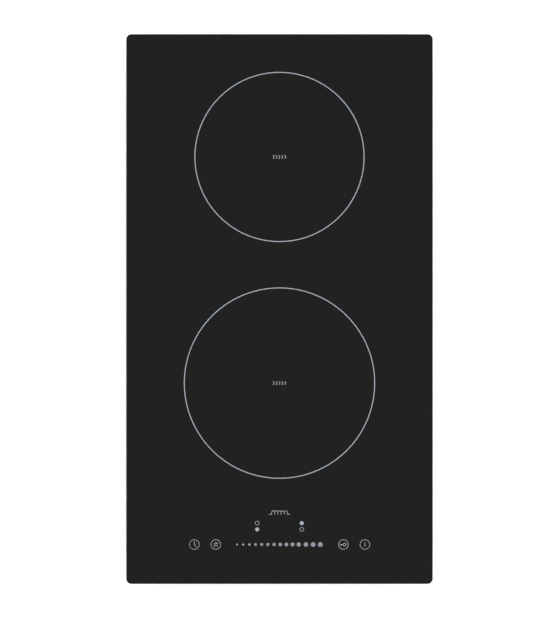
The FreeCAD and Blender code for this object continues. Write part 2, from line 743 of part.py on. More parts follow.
def heatsink():
    """A finned extrusion that bridges the power devices and stands on the board."""
    half = 24.0
    base_z = BOARD_TOP_Z + CHIP_THICK
    top_z = -18.0
    pieces = [block(-half, half, HEATSINK_FRONT_Y, HEATSINK_BACK_Y, base_z, base_z + 4.5)]
    for side in (-1, 1):
        x0, x1 = sorted((side * half, side * (half - 3.0)))
        pieces.append(block(x0, x1, HEATSINK_FRONT_Y, HEATSINK_BACK_Y, BOARD_TOP_Z, base_z))
    for i in range(9):
        x = -half + i * (2 * half - 1.6) / 8
        pieces.append(block(x, x + 1.6, HEATSINK_FRONT_Y, HEATSINK_BACK_Y, base_z + 4.5, top_z))
    return joined(pieces)


def power_transistors():
    chips = []
    for i in range(4):
        y = -82.0 + 30.0 * i
        chips.append(block(-8.0, 8.0, y - 10.5, y + 10.5, BOARD_TOP_Z, BOARD_TOP_Z + CHIP_THICK))
    return Part.makeCompound(chips)


def bridge_rectifier():
    body = block(-15.0, 15.0, 36.0, 56.0, BOARD_TOP_Z, BOARD_TOP_Z + CHIP_THICK)
    corner = [(15.0, 56.0), (15.0, 50.0), (9.0, 56.0)]
    return body.cut(prism(corner, BOARD_TOP_Z, BOARD_TOP_Z + CHIP_THICK))


def film_capacitors():
    cans = []
    for x, y, length, width, height in ((52, -88, 32, 18, 21), (52, -64, 32, 18, 21),
                                        (52, 52, 32, 18, 21), (52, 76, 32, 18, 21),
                                        (52, -20, 42, 26, 22), (-78, 96, 32, 15, 19)):
        can = rounded_plate(length, width, 1.0, BOARD_TOP_Z, BOARD_TOP_Z + height, x, y)
        cans.append(can)
    return Part.makeCompound(cans)


def electrolytic_capacitors():
    cans = []
    for x, y, radius, height in ((-40, -92, 5, 16), (-40, -76, 5, 16), (-94, -20, 8, 20),
                                 (84, 20, 4, 12), (84, 34, 4, 12)):
        can = upright(x, y, BOARD_TOP_Z, BOARD_TOP_Z + height, radius)
        groove = Part.makeTorus(radius + 0.3, 0.7, Vector(x, y, BOARD_TOP_Z + 2.5))
        cans.append(can.cut(groove))
    return Part.makeCompound(cans)


CHOKE_PLACE = Vector(-70.0, 60.0, BOARD_TOP_Z + 6.4)
CHOKE_RADIUS = 14.0


def choke_core():
    return Part.makeTorus(CHOKE_RADIUS, 4.2, CHOKE_PLACE)


def choke_winding():
    loops = []
    for bank in (0, 180):
        for i in range(9):
            angle = math.radians(bank + 18 + 18 * i)
            around = Vector(math.cos(angle), math.sin(angle), 0)
            heading = Vector(-math.sin(angle), math.cos(angle), 0)
            start = CHOKE_PLACE + around * CHOKE_RADIUS - heading * 0.7
            turn = Part.makeCylinder(6.0, 1.4, start, heading)
            loops.append(turn.cut(Part.makeCylinder(4.5, 1.4, start, heading)))
    return Part.makeCompound(loops)


def supply_transformer():
    x, y = -72.0, -60.0
    top = BOARD_TOP_Z + 20.0
    frame = block(x - 13, x + 13, y - 4, y + 4, BOARD_TOP_Z + 2, top)
    for side in (-1, 1):
        x0, x1 = sorted((x + side * 4.0, x + side * 9.5))
        frame = frame.cut(block(x0, x1, y - 5, y + 5, BOARD_TOP_Z + 6, top - 4))
    bobbin = upright(x, y, BOARD_TOP_Z + 6, top - 4, 9.0)
    foot = block(x - 12, x + 12, y - 10, y + 10, BOARD_TOP_Z, BOARD_TOP_Z + 2)
    return joined([frame, bobbin, foot])


def relays():
    cans = [rounded_plate(29.0, 13.0, 1.0, BOARD_TOP_Z, BOARD_TOP_Z + 16.0, -80.0, y)
            for y in (10.0, 28.0)]
    return Part.makeCompound(cans)


def board_connectors():
    """Mains, coil, fan and control-cable connectors on both boards."""
    parts = []
    for i in range(3):
        x = TERMINAL_X + TERMINAL_PITCH * (i - 2)
        parts.append(block(x - 4.2, x + 4.2, 138.0, 150.0, BOARD_TOP_Z, BOARD_TOP_Z + 11.0))
    for _, centre_y, _, _ in ZONES:
        for side in (-1, 1):
            y = centre_y + side * LEAD_SPACING
            parts.append(block(LEAD_X - 4, LEAD_X + 4, y - 2.8, y + 2.8, BOARD_TOP_Z,
                               BOARD_TOP_Z + 7.0))
    parts.append(block(RIBBON_X - 9, RIBBON_X + 9, -109.0, -103.0, BOARD_TOP_Z,
                       BOARD_TOP_Z + 6.0))
    parts.append(block(-70.0, -60.0, -110.0, -104.0, BOARD_TOP_Z, BOARD_TOP_Z + 7.0))
    parts.append(block(RIBBON_X - 9, RIBBON_X + 9, RIBBON_Y - 3, RIBBON_Y + 3,
                       CONTROL_BASE_Z - 5.0, CONTROL_BASE_Z))
    return Part.makeCompound(parts)


# ---------------------------------------------------------------- fan

def fan_frame():
    upper = rounded_plate(FAN_SIZE, FAN_SIZE, 6.0, FAN_TOP_Z - 3.0, FAN_TOP_Z, 0, FAN_Y)
    lower = rounded_plate(FAN_SIZE, FAN_SIZE, 6.0, FLOOR_Z, FLOOR_Z + 3.0, 0, FAN_Y)
    barrel = upright(0, FAN_Y, FLOOR_Z, FAN_TOP_Z, FAN_SIZE / 2)
    body = joined([upper, lower, barrel])
    body = body.cut(upright(0, FAN_Y, FLOOR_Z - 1, FAN_TOP_Z + 1, FAN_DUCT_RADIUS))
    hub = upright(0, FAN_Y, FAN_TOP_Z - 2.5, FAN_TOP_Z, 16.0)
    struts = []
    for i in range(4):
        strut = block(10.0, FAN_DUCT_RADIUS + 1.0, FAN_Y - 2.0, FAN_Y + 2.0,
                      FAN_TOP_Z - 2.5, FAN_TOP_Z)
        struts.append(turned(strut, 90 * i + 25, 0, FAN_Y))
    body = joined([body, hub] + struts)
    holes = [upright(x, FAN_Y + y, FLOOR_Z - 1, FAN_TOP_Z + 1, 2.15)
             for x, y in corners_of(FAN_HOLE_OFFSET, FAN_HOLE_OFFSET)]
    return body.cut(Part.makeCompound(holes))


def blade_section(x, chord, pitch_angle):
    half = chord / 2
    along = (half * math.cos(math.radians(pitch_angle)), half * math.sin(math.radians(pitch_angle)))
    thick = 0.7
    side = (-thick * math.sin(math.radians(pitch_angle)), thick * math.cos(math.radians(pitch_angle)))
    middle_z = ROTOR_BASE_Z + ROTOR_HEIGHT / 2
    points = []
    for a, s in ((-1, -1), (1, -1), (1, 1), (-1, 1)):
        points.append(Vector(x, FAN_Y + a * along[0] + s * side[0],
                             middle_z + a * along[1] + s * side[1]))
    return Part.makePolygon(points + points[:1])


def fan_rotor():
    """Hub cup with its magnet ring, shaft and twisted blades."""
    top_z = ROTOR_BASE_Z + ROTOR_HEIGHT
    cup = upright(0, FAN_Y, ROTOR_BASE_Z, top_z, ROTOR_RADIUS)
    hollow = upright(0, FAN_Y, ROTOR_BASE_Z + ROTOR_WALL, top_z, 13.6)
    shaft = upright(0, FAN_Y, ROTOR_BASE_Z + ROTOR_WALL, FAN_TOP_Z - 2.7, SHAFT_RADIUS)
    blade = Part.makeLoft([blade_section(15.6, 12.0, 50.0), blade_section(36.0, 20.0, 27.0)],
                          True, True)
    blades = [turned(blade, 360.0 / BLADES * i, 0, FAN_Y) for i in range(BLADES)]
    return joined([cup.cut(hollow), shaft] + blades)


def fan_stator():
    """The motor's bearing tube and its four-pole core, hung from the frame's hub."""
    base_z = ROTOR_BASE_Z + ROTOR_WALL + 0.6
    top_z = FAN_TOP_Z - 2.5
    tube = upright(0, FAN_Y, base_z, top_z, 3.5)
    pieces = [tube]
    core_z0 = base_z + 1.0
    core_z1 = core_z0 + 4.5
    for i in range(4):
        pole = block(0, 11.5, FAN_Y - 2.2, FAN_Y + 2.2, core_z0, core_z1)
        ring = upright_tube(0, FAN_Y, core_z0, core_z1, 13.0, 10.8)
        shoe = ring.common(block(0, 14.0, FAN_Y - 8.0, FAN_Y + 8.0, core_z0, core_z1))
        pieces.append(turned(pole, 90 * i, 0, FAN_Y))
        pieces.append(turned(shoe, 90 * i, 0, FAN_Y))
    core = joined(pieces)
    return core.cut(upright(0, FAN_Y, base_z, top_z, SHAFT_RADIUS + 0.05))


# ---------------------------------------------------------------- touch controls

def control_board():
    return block(-CONTROL_HALF_WIDTH, CONTROL_HALF_WIDTH, CONTROL_FRONT_Y, CONTROL_BACK_Y,
                 CONTROL_BASE_Z, CONTROL_TOP_Z)


def control_carrier():
    """The plastic tray under the touch board, with a rim and rests for the board."""
    half = CONTROL_HALF_WIDTH + 0.5
    front = CONTROL_FRONT_Y - 0.5
    back = CONTROL_BACK_Y + 0.5
    outer = block(-half - CARRIER_WALL, half + CARRIER_WALL, front - CARRIER_WALL,
                  back + CARRIER_WALL, CARRIER_FLOOR_Z, CONTROL_TOP_Z + 1.5)
    inner = block(-half, half, front, back, CARRIER_FLOOR_Z + CARRIER_WALL, CONTROL_TOP_Z + 1.5)
    tray = outer.cut(inner)
    rests = []
    for x in (-90.0, -45.0, 0.0, 45.0, 90.0):
        for y in (CONTROL_FRONT_Y + 4.0, CONTROL_BACK_Y - 4.0):
            rests.append(upright(x, y, CARRIER_FLOOR_Z, CONTROL_BASE_Z, 2.5))
    tray = joined([tray] + rests)
    cable_gap = block(RIBBON_X - 12, RIBBON_X + 12, RIBBON_Y - 6, RIBBON_Y + 6,
                      CARRIER_FLOOR_Z - 1, CARRIER_FLOOR_Z + CARRIER_WALL + 1)
    return tray.cut(cable_gap)


def carrier_posts():
    posts = []
    for side in (-1, 1):
        for y in (-232.0, -190.0):
            posts.append(upright(side * 94.0, y, FLOOR_Z, CARRIER_FLOOR_Z, 3.5))
    return Part.makeCompound(posts)


def touch_springs():
    """One contact spring under each key and along the slider."""
    places = [CLOCK_X, BOOST_X, LOCK_X, POWER_X] + [-37.0 + 12.5 * i for i in range(7)]
    return Part.makeCompound([coil_spring(x, ICON_Y, CONTROL_TOP_Z, GLASS_BASE_Z - 0.05, 3.2, 0.3,
                                          4.5) for x in places])


def light_guides():
    guides = []
    for side in (-1, 1):
        for y in INDICATOR_ROWS:
            guides.append(upright(side * INDICATOR_X, y, CONTROL_TOP_Z, GLASS_BASE_Z - 0.1, 1.7))
    return Part.makeCompound(guides)


def buzzer():
    can = upright(75.0, -200.0, CONTROL_TOP_Z, CONTROL_TOP_Z + 5.5, 6.0)
    return can.cut(upright(75.0, -200.0, CONTROL_TOP_Z + 4.0, CONTROL_TOP_Z + 5.5, 1.0))


def ribbon_cable():
    """The flat cable from the touch board's connector down and back to the power board."""
    start_z = CONTROL_BASE_Z - 5.0
    run_z = -28.0
    path = bent_wire([(RIBBON_X, RIBBON_Y, start_z), (RIBBON_X, RIBBON_Y, run_z),
                      (RIBBON_X, -106.0, run_z), (RIBBON_X, -106.0, BOARD_TOP_Z + 6.0)], 3.0)
    corners = [Vector(RIBBON_X + sx * 7.0, RIBBON_Y + sy * 0.5, start_z)
               for sx, sy in ((-1, -1), (1, -1), (1, 1), (-1, 1))]
    section = Part.makePolygon(corners + corners[:1])
    return path.makePipeShell([section], True, False)


# ---------------------------------------------------------------- mains terminals

def terminal_xs():
    middle = (TERMINAL_COUNT - 1) / 2
    return [TERMINAL_X + TERMINAL_PITCH * (i - middle) for i in range(TERMINAL_COUNT)]


def terminal_tub():
    """A plastic tub set in the floor, with the cord's saddle and the lid's hinge pins."""
    x0 = TERMINAL_X - TUB_HALF_WIDTH
    x1 = TERMINAL_X + TUB_HALF_WIDTH
    shell = block(x0 - TUB_WALL, x1 + TUB_WALL, TUB_FRONT_Y - TUB_WALL, TUB_BACK_Y + TUB_WALL,
                  FLOOR_Z, TUB_TOP_Z + TUB_WALL)
    rim = block(x0 - TUB_WALL - TUB_RIM, x1 + TUB_WALL + TUB_RIM, TUB_FRONT_Y - TUB_WALL - TUB_RIM,
                TUB_BACK_Y + TUB_WALL + TUB_RIM, FLOOR_Z, FLOOR_Z + 1.5)
    tub = joined([shell, rim]).cut(block(x0, x1, TUB_FRONT_Y, TUB_BACK_Y, FLOOR_Z - 1, TUB_TOP_Z))
    saddle = block(TERMINAL_X - 15, TERMINAL_X + 15, 222.5, 228.5, CABLE_Z + 5.7, TUB_TOP_Z)
    saddle = saddle.cut(rod_y(TERMINAL_X, CABLE_Z, 222.0, 229.0, CABLE_BORE_RADIUS + 1.2))
    pins = [rod_x(LID_HINGE_Y, LID_HINGE_Z, x0 - 0.5, x0 + 2.9, LID_PIN_RADIUS),
            rod_x(LID_HINGE_Y, LID_HINGE_Z, x1 - 2.9, x1 + 0.5, LID_PIN_RADIUS)]
    tub = joined([tub, saddle] + pins)
    cutters = [rod_y(TERMINAL_X, CABLE_Z, TUB_BACK_Y - 1, TUB_BACK_Y + TUB_WALL + 1,
                     BUSH_RADIUS + SEAT_GAP)]
    for x in terminal_xs():
        cutters.append(rod_y(x, TERMINAL_WIRE_Z, TUB_FRONT_Y - TUB_WALL - 1, TUB_FRONT_Y + 1, 2.0))
    for side in (-1, 1):
        cutters.append(upright(TERMINAL_X + side * 11.5, 225.5, CABLE_Z + 5.0, TUB_TOP_Z,
                               SCREW_RADIUS))
    return tub.cut(Part.makeCompound(cutters))


def terminal_block():
    body = block(TERMINAL_X - 24, TERMINAL_X + 24, BLOCK_FRONT_Y, BLOCK_BACK_Y, -39.0, TUB_TOP_Z)
    cutters = []
    for x in terminal_xs():
        cutters.append(block(x - 3.5, x + 3.5, BLOCK_FRONT_Y - 1, BLOCK_BACK_Y + 1,
                             TERMINAL_WIRE_Z - 3.5, TERMINAL_WIRE_Z + 3.5))
        for y in (BLOCK_FRONT_Y + 5.0, BLOCK_BACK_Y - 5.0):
            cutters.append(upright(x, y, -40.0, TERMINAL_WIRE_Z, 2.5))
    return body.cut(Part.makeCompound(cutters))


def terminal_inserts():
    """Brass sleeves in the block, each with a screw at both ends."""
    sleeves = []
    for x in terminal_xs():
        sleeve = block(x - 3.5, x + 3.5, BLOCK_FRONT_Y, BLOCK_BACK_Y, TERMINAL_WIRE_Z - 3.5,
                       TERMINAL_WIRE_Z + 3.5)
        sleeve = sleeve.cut(rod_y(x, TERMINAL_WIRE_Z, BLOCK_FRONT_Y, BLOCK_BACK_Y, 2.3))
        for y in (BLOCK_FRONT_Y + 5.0, BLOCK_BACK_Y - 5.0):
            sleeve = sleeve.cut(upright(x, y, TERMINAL_WIRE_Z - 4, TERMINAL_WIRE_Z, 1.6))
        sleeves.append(sleeve)
    return Part.makeCompound(sleeves)


def terminal_screws():
    screws = []
    for x in terminal_xs():
        for y in (BLOCK_FRONT_Y + 5.0, BLOCK_BACK_Y - 5.0):
            screws.append(screw(x, y, TERMINAL_WIRE_Z - 3.5, 2.5, True, 1.5, 2.2))
    return Part.makeCompound(screws)


def mains_leads():
    """Three leads from the terminals to the power board, and the earth lead to the floor."""
    leads = [rod_y(x, TERMINAL_WIRE_Z, 150.0, BLOCK_FRONT_Y, 1.5) for x in terminal_xs()[:3]]
    earth_x = terminal_xs()[-1]
    path = bent_wire([(earth_x, BLOCK_FRONT_Y, TERMINAL_WIRE_Z), (earth_x, 166.0, TERMINAL_WIRE_Z),
                      (earth_x, 166.0, FLOOR_Z + 3.0)], 6.0)
    leads.append(wire_along(path, 1.5))
    return Part.makeCompound(leads)


def cable_bush():
    """The insulating bush where the mains cable enters through the rear wall."""
    wall_y = CASE_DEPTH / 2
    body = rod_y(TERMINAL_X, CABLE_Z, TUB_BACK_Y - 1.5, BUSH_END_Y, BUSH_RADIUS)
    inner_collar = rod_y(TERMINAL_X, CABLE_Z, TUB_BACK_Y - 1.5, TUB_BACK_Y, 10.4)
    outer_collar = rod_y(TERMINAL_X, CABLE_Z, wall_y, wall_y + 1.8, 11.0)
    bush = joined([body, inner_collar, outer_collar])
    return bush.cut(rod_y(TERMINAL_X, CABLE_Z, TUB_BACK_Y - 2, BUSH_END_Y + 1, CABLE_BORE_RADIUS))


def cable_clamp():
    """The bar that holds the cable up against the saddle."""
    bar = block(TERMINAL_X - 15, TERMINAL_X + 15, 222.5, 228.5, -45.0, -41.5)
    bar = bar.cut(rod_y(TERMINAL_X, CABLE_Z, 222.0, 229.0, CABLE_BORE_RADIUS))
    for side in (-1, 1):
        bar = bar.cut(upright(TERMINAL_X + side * 11.5, 225.5, -46.0, -41.0, 1.7))
    return bar


def terminal_lid():
    """The lid over the terminals, which swings down on two hinge lugs."""
    x0 = TERMINAL_X - TUB_HALF_WIDTH + 0.8
    x1 = TERMINAL_X + TUB_HALF_WIDTH - 0.8
    top = LID_BASE_Z + LID_THICK
    pieces = [block(x0, x1, 181.5, TUB_BACK_Y - 0.8, LID_BASE_Z, top)]
    for start, end in ((x0, x0 + 2.2), (x1 - 2.2, x1)):
        pieces.append(block(start, end, LID_HINGE_Y - 2.3, LID_HINGE_Y + 2.3, top,
                            LID_HINGE_Z + 2.0))
    for y in (200.0, 215.0):
        pieces.append(block(x0 + 5, x1 - 5, y, y + 1.2, top, top + 1.2))
    lid = joined(pieces)
    bore = rod_x(LID_HINGE_Y, LID_HINGE_Z, x0 - 1, x1 + 1, LID_BORE_RADIUS)
    sides = [block(x0 - 1, x0 + 2.2, 180, 190, CASE_BASE_Z, LID_HINGE_Z + 3),
             block(x1 - 2.2, x1 + 1, 180, 190, CASE_BASE_Z, LID_HINGE_Z + 3)]
    lid = lid.cut(bore.common(Part.makeCompound(sides)))
    notch = block(TERMINAL_X - 5, TERMINAL_X + 5, TUB_BACK_Y - 2.8, TUB_BACK_Y, LID_BASE_Z - 1,
                  top + 1)
    return lid.cut(notch)


# ---------------------------------------------------------------- fasteners and output

def mounting_screws():
    """The screws of the coil tray, both boards, the fan, the cable clamp and the earth."""
    screws = [screw(side * POST_X, y, TRAY_TOP_Z, 9.0) for side in (-1, 1) for y in POST_ROWS]
    screws += [screw(x, y, BOARD_TOP_Z, STANDOFF + BOARD_THICK - 0.5)
               for x, y in standoff_places()]
    screws += [screw(x, FAN_Y + y, FAN_TOP_Z, FAN_DEEP - 0.5)
               for x, y in corners_of(FAN_HOLE_OFFSET, FAN_HOLE_OFFSET)]
    screws += [screw(TERMINAL_X + side * 11.5, 225.5, -45.0, 16.0, True) for side in (-1, 1)]
    earth_x = terminal_xs()[-1]
    screws.append(upright(earth_x, 166.0, FLOOR_Z, FLOOR_Z + 3.0, 4.0))
    return Part.makeCompound(screws)


def zone_parts(name, centre_y, turns):
    return {
        name + "_coil_former": coil_former(centre_y, turns),
        name + "_coil_winding": coil_winding(centre_y, turns),
        name + "_coil_ferrites": coil_ferrites(centre_y, turns),
        name + "_mica_sheet": mica_sheet(centre_y, turns),
        name + "_temperature_sensor": temperature_sensor(centre_y),
        name + "_coil_springs": coil_springs(centre_y, turns),
        name + "_coil_leads": coil_leads(centre_y, turns),
    }


def all_parts():
    parts = {"zone_print": zone_print(), "control_print": control_print()}
    parts["glass_plate"] = glass_plate([parts["zone_print"], parts["control_print"]])
    for name, centre_y, _, turns in ZONES:
        parts.update(zone_parts(name, centre_y, turns))
    for depth_word, sy in (("front", -1), ("rear", 1)):
        for side_word, sx in (("left", -1), ("right", 1)):
            parts["clamp_%s_%s" % (depth_word, side_word)] = clamp_arm(sx, sy)
    for maker in (worktop_seal, glass_adhesive, casing, clamp_screws, clamp_nuts, coil_tray,
                  tray_posts, coil_guide_pins, power_board, board_standoffs, heatsink,
                  power_transistors, bridge_rectifier, film_capacitors, electrolytic_capacitors,
                  choke_core, choke_winding, supply_transformer, relays, board_connectors,
                  fan_frame, fan_rotor, fan_stator, control_board, control_carrier, carrier_posts,
                  touch_springs, light_guides, buzzer, ribbon_cable, terminal_tub,
                  terminal_block, terminal_inserts, terminal_screws, mains_leads, cable_bush,
                  cable_clamp, terminal_lid, mounting_screws):
        parts[maker.__name__] = maker()
    return parts


def main():
    os.makedirs("parts", exist_ok=True)
    for name, shape in all_parts().items():
        shape.exportStep("parts/%s.step" % name)
        print("%-28s %3d solids %10.1f mm3" % (name, len(shape.Solids), shape.Volume))


main()
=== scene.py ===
import json
import math

import bmesh
import bpy
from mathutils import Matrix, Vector


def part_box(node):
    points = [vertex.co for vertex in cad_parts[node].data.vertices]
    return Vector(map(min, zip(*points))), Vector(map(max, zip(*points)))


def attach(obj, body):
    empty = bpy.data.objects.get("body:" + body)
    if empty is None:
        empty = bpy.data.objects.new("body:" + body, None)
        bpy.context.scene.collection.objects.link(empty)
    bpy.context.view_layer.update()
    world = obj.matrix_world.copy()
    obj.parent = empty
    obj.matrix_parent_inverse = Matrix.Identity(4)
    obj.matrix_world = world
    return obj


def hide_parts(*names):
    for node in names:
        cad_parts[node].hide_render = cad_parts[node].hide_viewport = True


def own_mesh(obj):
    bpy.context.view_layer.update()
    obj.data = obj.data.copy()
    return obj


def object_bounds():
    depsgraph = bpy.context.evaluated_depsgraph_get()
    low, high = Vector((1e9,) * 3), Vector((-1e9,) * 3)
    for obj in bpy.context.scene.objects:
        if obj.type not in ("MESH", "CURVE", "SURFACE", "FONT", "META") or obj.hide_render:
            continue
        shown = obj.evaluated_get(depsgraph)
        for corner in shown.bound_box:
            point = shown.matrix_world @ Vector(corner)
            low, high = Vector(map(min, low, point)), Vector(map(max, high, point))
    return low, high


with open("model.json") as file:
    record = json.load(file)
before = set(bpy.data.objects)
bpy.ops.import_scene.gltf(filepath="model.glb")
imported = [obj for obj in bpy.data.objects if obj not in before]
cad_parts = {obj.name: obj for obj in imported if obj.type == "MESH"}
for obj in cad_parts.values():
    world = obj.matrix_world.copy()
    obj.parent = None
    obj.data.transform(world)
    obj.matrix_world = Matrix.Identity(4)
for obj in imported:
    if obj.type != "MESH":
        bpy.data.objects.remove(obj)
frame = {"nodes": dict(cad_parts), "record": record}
cad_low, cad_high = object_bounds()
nodes = frame["nodes"]
mounts = {m["name"]: Vector(m["pos_m"]) for m in frame["record"]["mounts"]}

MM = 0.001


# ---------------------------------------------------------------- material tools

class Finish:
    """A Principled material with its colour, roughness and relief from patterns in object space."""

    def __init__(self, name, metallic=0.0, ior=1.5):
        self.material = bpy.data.materials.new(name)
        self.material.use_nodes = True
        self.tree = self.material.node_tree
        self.shader = self.tree.nodes["Principled BSDF"]
        self.shader.inputs["Metallic"].default_value = metallic
        self.shader.inputs["IOR"].default_value = ior
        self.place = self.tree.nodes.new("ShaderNodeTexCoord").outputs["Object"]
        self.relief = None

    def link(self, start, end):
        self.tree.links.new(start, end)

    def stretched(self, stretch, turn=0.0):
        """Object coordinates, scaled unevenly so that a pattern runs along one axis."""
        mapping = self.tree.nodes.new("ShaderNodeMapping")
        mapping.inputs["Scale"].default_value = stretch
        mapping.inputs["Rotation"].default_value = (0.0, 0.0, turn)
        self.link(self.place, mapping.inputs["Vector"])
        return mapping.outputs["Vector"]

    def noise(self, scale, detail=3.0, rough=0.5, stretch=None):
        node = self.tree.nodes.new("ShaderNodeTexNoise")
        node.inputs["Scale"].default_value = scale
        node.inputs["Detail"].default_value = detail
        node.inputs["Roughness"].default_value = rough
        self.link(self.stretched(stretch) if stretch else self.place, node.inputs["Vector"])
        return node.outputs["Fac"]

    def cells(self, scale, feature="F1", output="Color"):
        node = self.tree.nodes.new("ShaderNodeTexVoronoi")
        node.feature = feature
        node.inputs["Scale"].default_value = scale
        self.link(self.place, node.inputs["Vector"])
        return node.outputs[output]

    def bands(self, scale, direction="X", distortion=0.0, turn=0.0):
        node = self.tree.nodes.new("ShaderNodeTexWave")
        node.bands_direction = direction
        node.inputs["Scale"].default_value = scale
        node.inputs["Distortion"].default_value = distortion
        vector = self.stretched((1.0, 1.0, 1.0), turn) if turn else self.place
        self.link(vector, node.inputs["Vector"])
        return node.outputs["Fac"]

    def fields(self, step_x, step_y):
        """Straight-sided fields of the given size, each of one random value."""
        snap = self.tree.nodes.new("ShaderNodeVectorMath")
        snap.operation = "SNAP"
        snap.inputs[1].default_value = (step_x, step_y, 1.0)
        self.link(self.place, snap.inputs[0])
        node = self.tree.nodes.new("ShaderNodeTexWhiteNoise")
        self.link(snap.outputs["Vector"], node.inputs["Vector"])
        return node.outputs["Value"]

    def product(self, a, b, operation="MULTIPLY"):
        node = self.tree.nodes.new("ShaderNodeMath")
        node.operation = operation
        self.link(a, node.inputs[0])
        self.link(b, node.inputs[1])
        return node.outputs["Value"]

    def colour(self, pattern, low, high, start=0.3, end=0.7):
        ramp = self.tree.nodes.new("ShaderNodeValToRGB")
        for stop, position, value in zip(ramp.color_ramp.elements, (start, end), (low, high)):
            stop.position = position
            stop.color = tuple(value) + (1.0,)
        self.link(pattern, ramp.inputs["Fac"])
        self.link(ramp.outputs["Color"], self.shader.inputs["Base Color"])
        return self

    def roughness(self, pattern, low, high):
        reach = self.tree.nodes.new("ShaderNodeMapRange")
        reach.inputs["From Min"].default_value = 0.25
        reach.inputs["From Max"].default_value = 0.75
        reach.inputs["To Min"].default_value = low
        reach.inputs["To Max"].default_value = high
        self.link(pattern, reach.inputs["Value"])
        self.link(reach.outputs["Result"], self.shader.inputs["Roughness"])
        return self

    def bump(self, pattern, depth, strength=1.0):
        """Relief of the given depth in metres."""
        node = self.tree.nodes.new("ShaderNodeBump")
        node.inputs["Distance"].default_value = depth
        node.inputs["Strength"].default_value = strength
        self.link(pattern, node.inputs["Height"])
        if self.relief:
            self.link(self.relief, node.inputs["Normal"])
        self.relief = node.outputs["Normal"]
        self.link(self.relief, self.shader.inputs["Normal"])
        return self

    def set(self, **sockets):
        for name, value in sockets.items():
            self.shader.inputs[name.replace("_", " ")].default_value = value
        return self


def shade(colour, factor):
    return tuple(min(1.0, c * factor) for c in colour[:3])


def moulded(name, colour, rough=(0.38, 0.55), grain=0.00002, ior=1.5):
    """Moulded plastic: a fine spark-eroded grain and slightly uneven gloss."""
    made = Finish(name, ior=ior)
    made.colour(made.noise(90.0, 4.0), shade(colour, 0.9), shade(colour, 1.1))
    made.roughness(made.noise(400.0, 3.0), *rough)
    return made.bump(made.noise(2600.0, 2.0), grain, 0.6)


def plated(name, colour, rough=(0.2, 0.36)):
    """Bright zinc plate: a mottled gloss with fine tumbling marks."""
    made = Finish(name, metallic=1.0)
    made.colour(made.noise(260.0, 5.0), shade(colour, 0.86), shade(colour, 1.08))
    made.roughness(made.noise(700.0, 4.0), *rough)
    return made.bump(made.noise(1800.0, 3.0), 0.000012, 0.5)


def drawn(name, colour, stretch, rough=(0.22, 0.42)):
    """Rolled or extruded metal: fine lines along one direction."""
    made = Finish(name, metallic=1.0)
    lines = made.noise(1.0, 4.0, 0.6, stretch)
    made.colour(lines, shade(colour, 0.88), shade(colour, 1.06))
    made.roughness(lines, *rough)
    return made.bump(lines, 0.00001, 0.5)


def spangled(name, colour):
    """Galvanised sheet: crystal spangle whose grains differ in tone, gloss and level."""
    made = Finish(name, metallic=1.0)
    grains = made.cells(150.0)
    cloud = made.noise(30.0, 5.0)
    tone = made.product(grains, cloud)
    made.colour(tone, shade(colour, 0.8), shade(colour, 1.12), 0.05, 0.6)
    made.roughness(grains, 0.3, 0.46)
    made.bump(made.cells(150.0, "DISTANCE_TO_EDGE", output="Distance"), 0.000015, 0.35)
    return made.bump(made.noise(900.0, 3.0), 0.00001, 0.4)


def sintered(name, colour):
    """Pressed and fired ferrite: dark, matt and faintly speckled."""
    made = Finish(name)
    made.colour(made.noise(3500.0, 2.0, 0.8), shade(colour, 0.7), shade(colour, 1.4))
    made.roughness(made.noise(500.0, 3.0), 0.5, 0.72)
    return made.bump(made.noise(2200.0, 3.0), 0.00003, 0.7)


def rubbery(name, colour, rough=(0.6, 0.8)):
    made = Finish(name)
    made.colour(made.noise(200.0, 4.0), shade(colour, 0.8), shade(colour, 1.25))
    made.roughness(made.noise(500.0, 3.0), *rough)
    return made.bump(made.noise(1500.0, 3.0), 0.00003, 0.6)


def foam(name, colour):
    """Closed-cell foam tape: small round cells, painted darker in each cell's hollow as painted
    shade and lighter at the rims between cells.
    """
    made = Finish(name)
    pores_and_pore_shade = made.cells(1400.0, output="Distance")
    # Painted shade: the colour is darkest in each cell's middle, where the bump sinks, and lightest
    # on the rims.
    made.colour(pores_and_pore_shade, shade(colour, 0.5), shade(colour, 1.6), 0.1, 0.7)
    made.roughness(made.noise(600.0, 3.0), 0.8, 0.95)
    return made.bump(pores_and_pore_shade, 0.00012, 0.8)


def woven(name, colour):
    """Glass-braid sleeve: two sets of crossing yarns, with painted shade darkening the gaps where
    the yarns dip.
    """
    made = Finish(name)
    weave_and_gap_shade = made.product(made.bands(900.0, "DIAGONAL"), made.bands(900.0, "DIAGONAL", turn=1.5708))
    # Painted shade: the colour darkens where the yarns dip, following the bump.
    made.colour(weave_and_gap_shade, shade(colour, 0.6), shade(colour, 1.08), 0.0, 0.6)
    made.roughness(made.noise(500.0), 0.6, 0.78)
    return made.bump(weave_and_gap_shade, 0.0001, 0.7)


def stranded(name, colour):
    """Enamelled stranded copper: fine strands laid across the run at a slant, with painted shade
    darkening the grooves between them.
    """
    made = Finish(name, metallic=1.0)
    wires_and_groove_shade = made.bands(2300.0, "DIAGONAL", 1.2)
    # Painted shade: the colour darkens in the grooves between the strands, following the bump.
    made.colour(wires_and_groove_shade, shade(colour, 0.45), shade(colour, 1.1), 0.05, 0.7)
    made.roughness(made.noise(400.0, 3.0), 0.24, 0.4)
    return made.bump(wires_and_groove_shade, 0.00008, 0.6).set(Coat_Weight=0.3, Coat_Roughness=0.2)


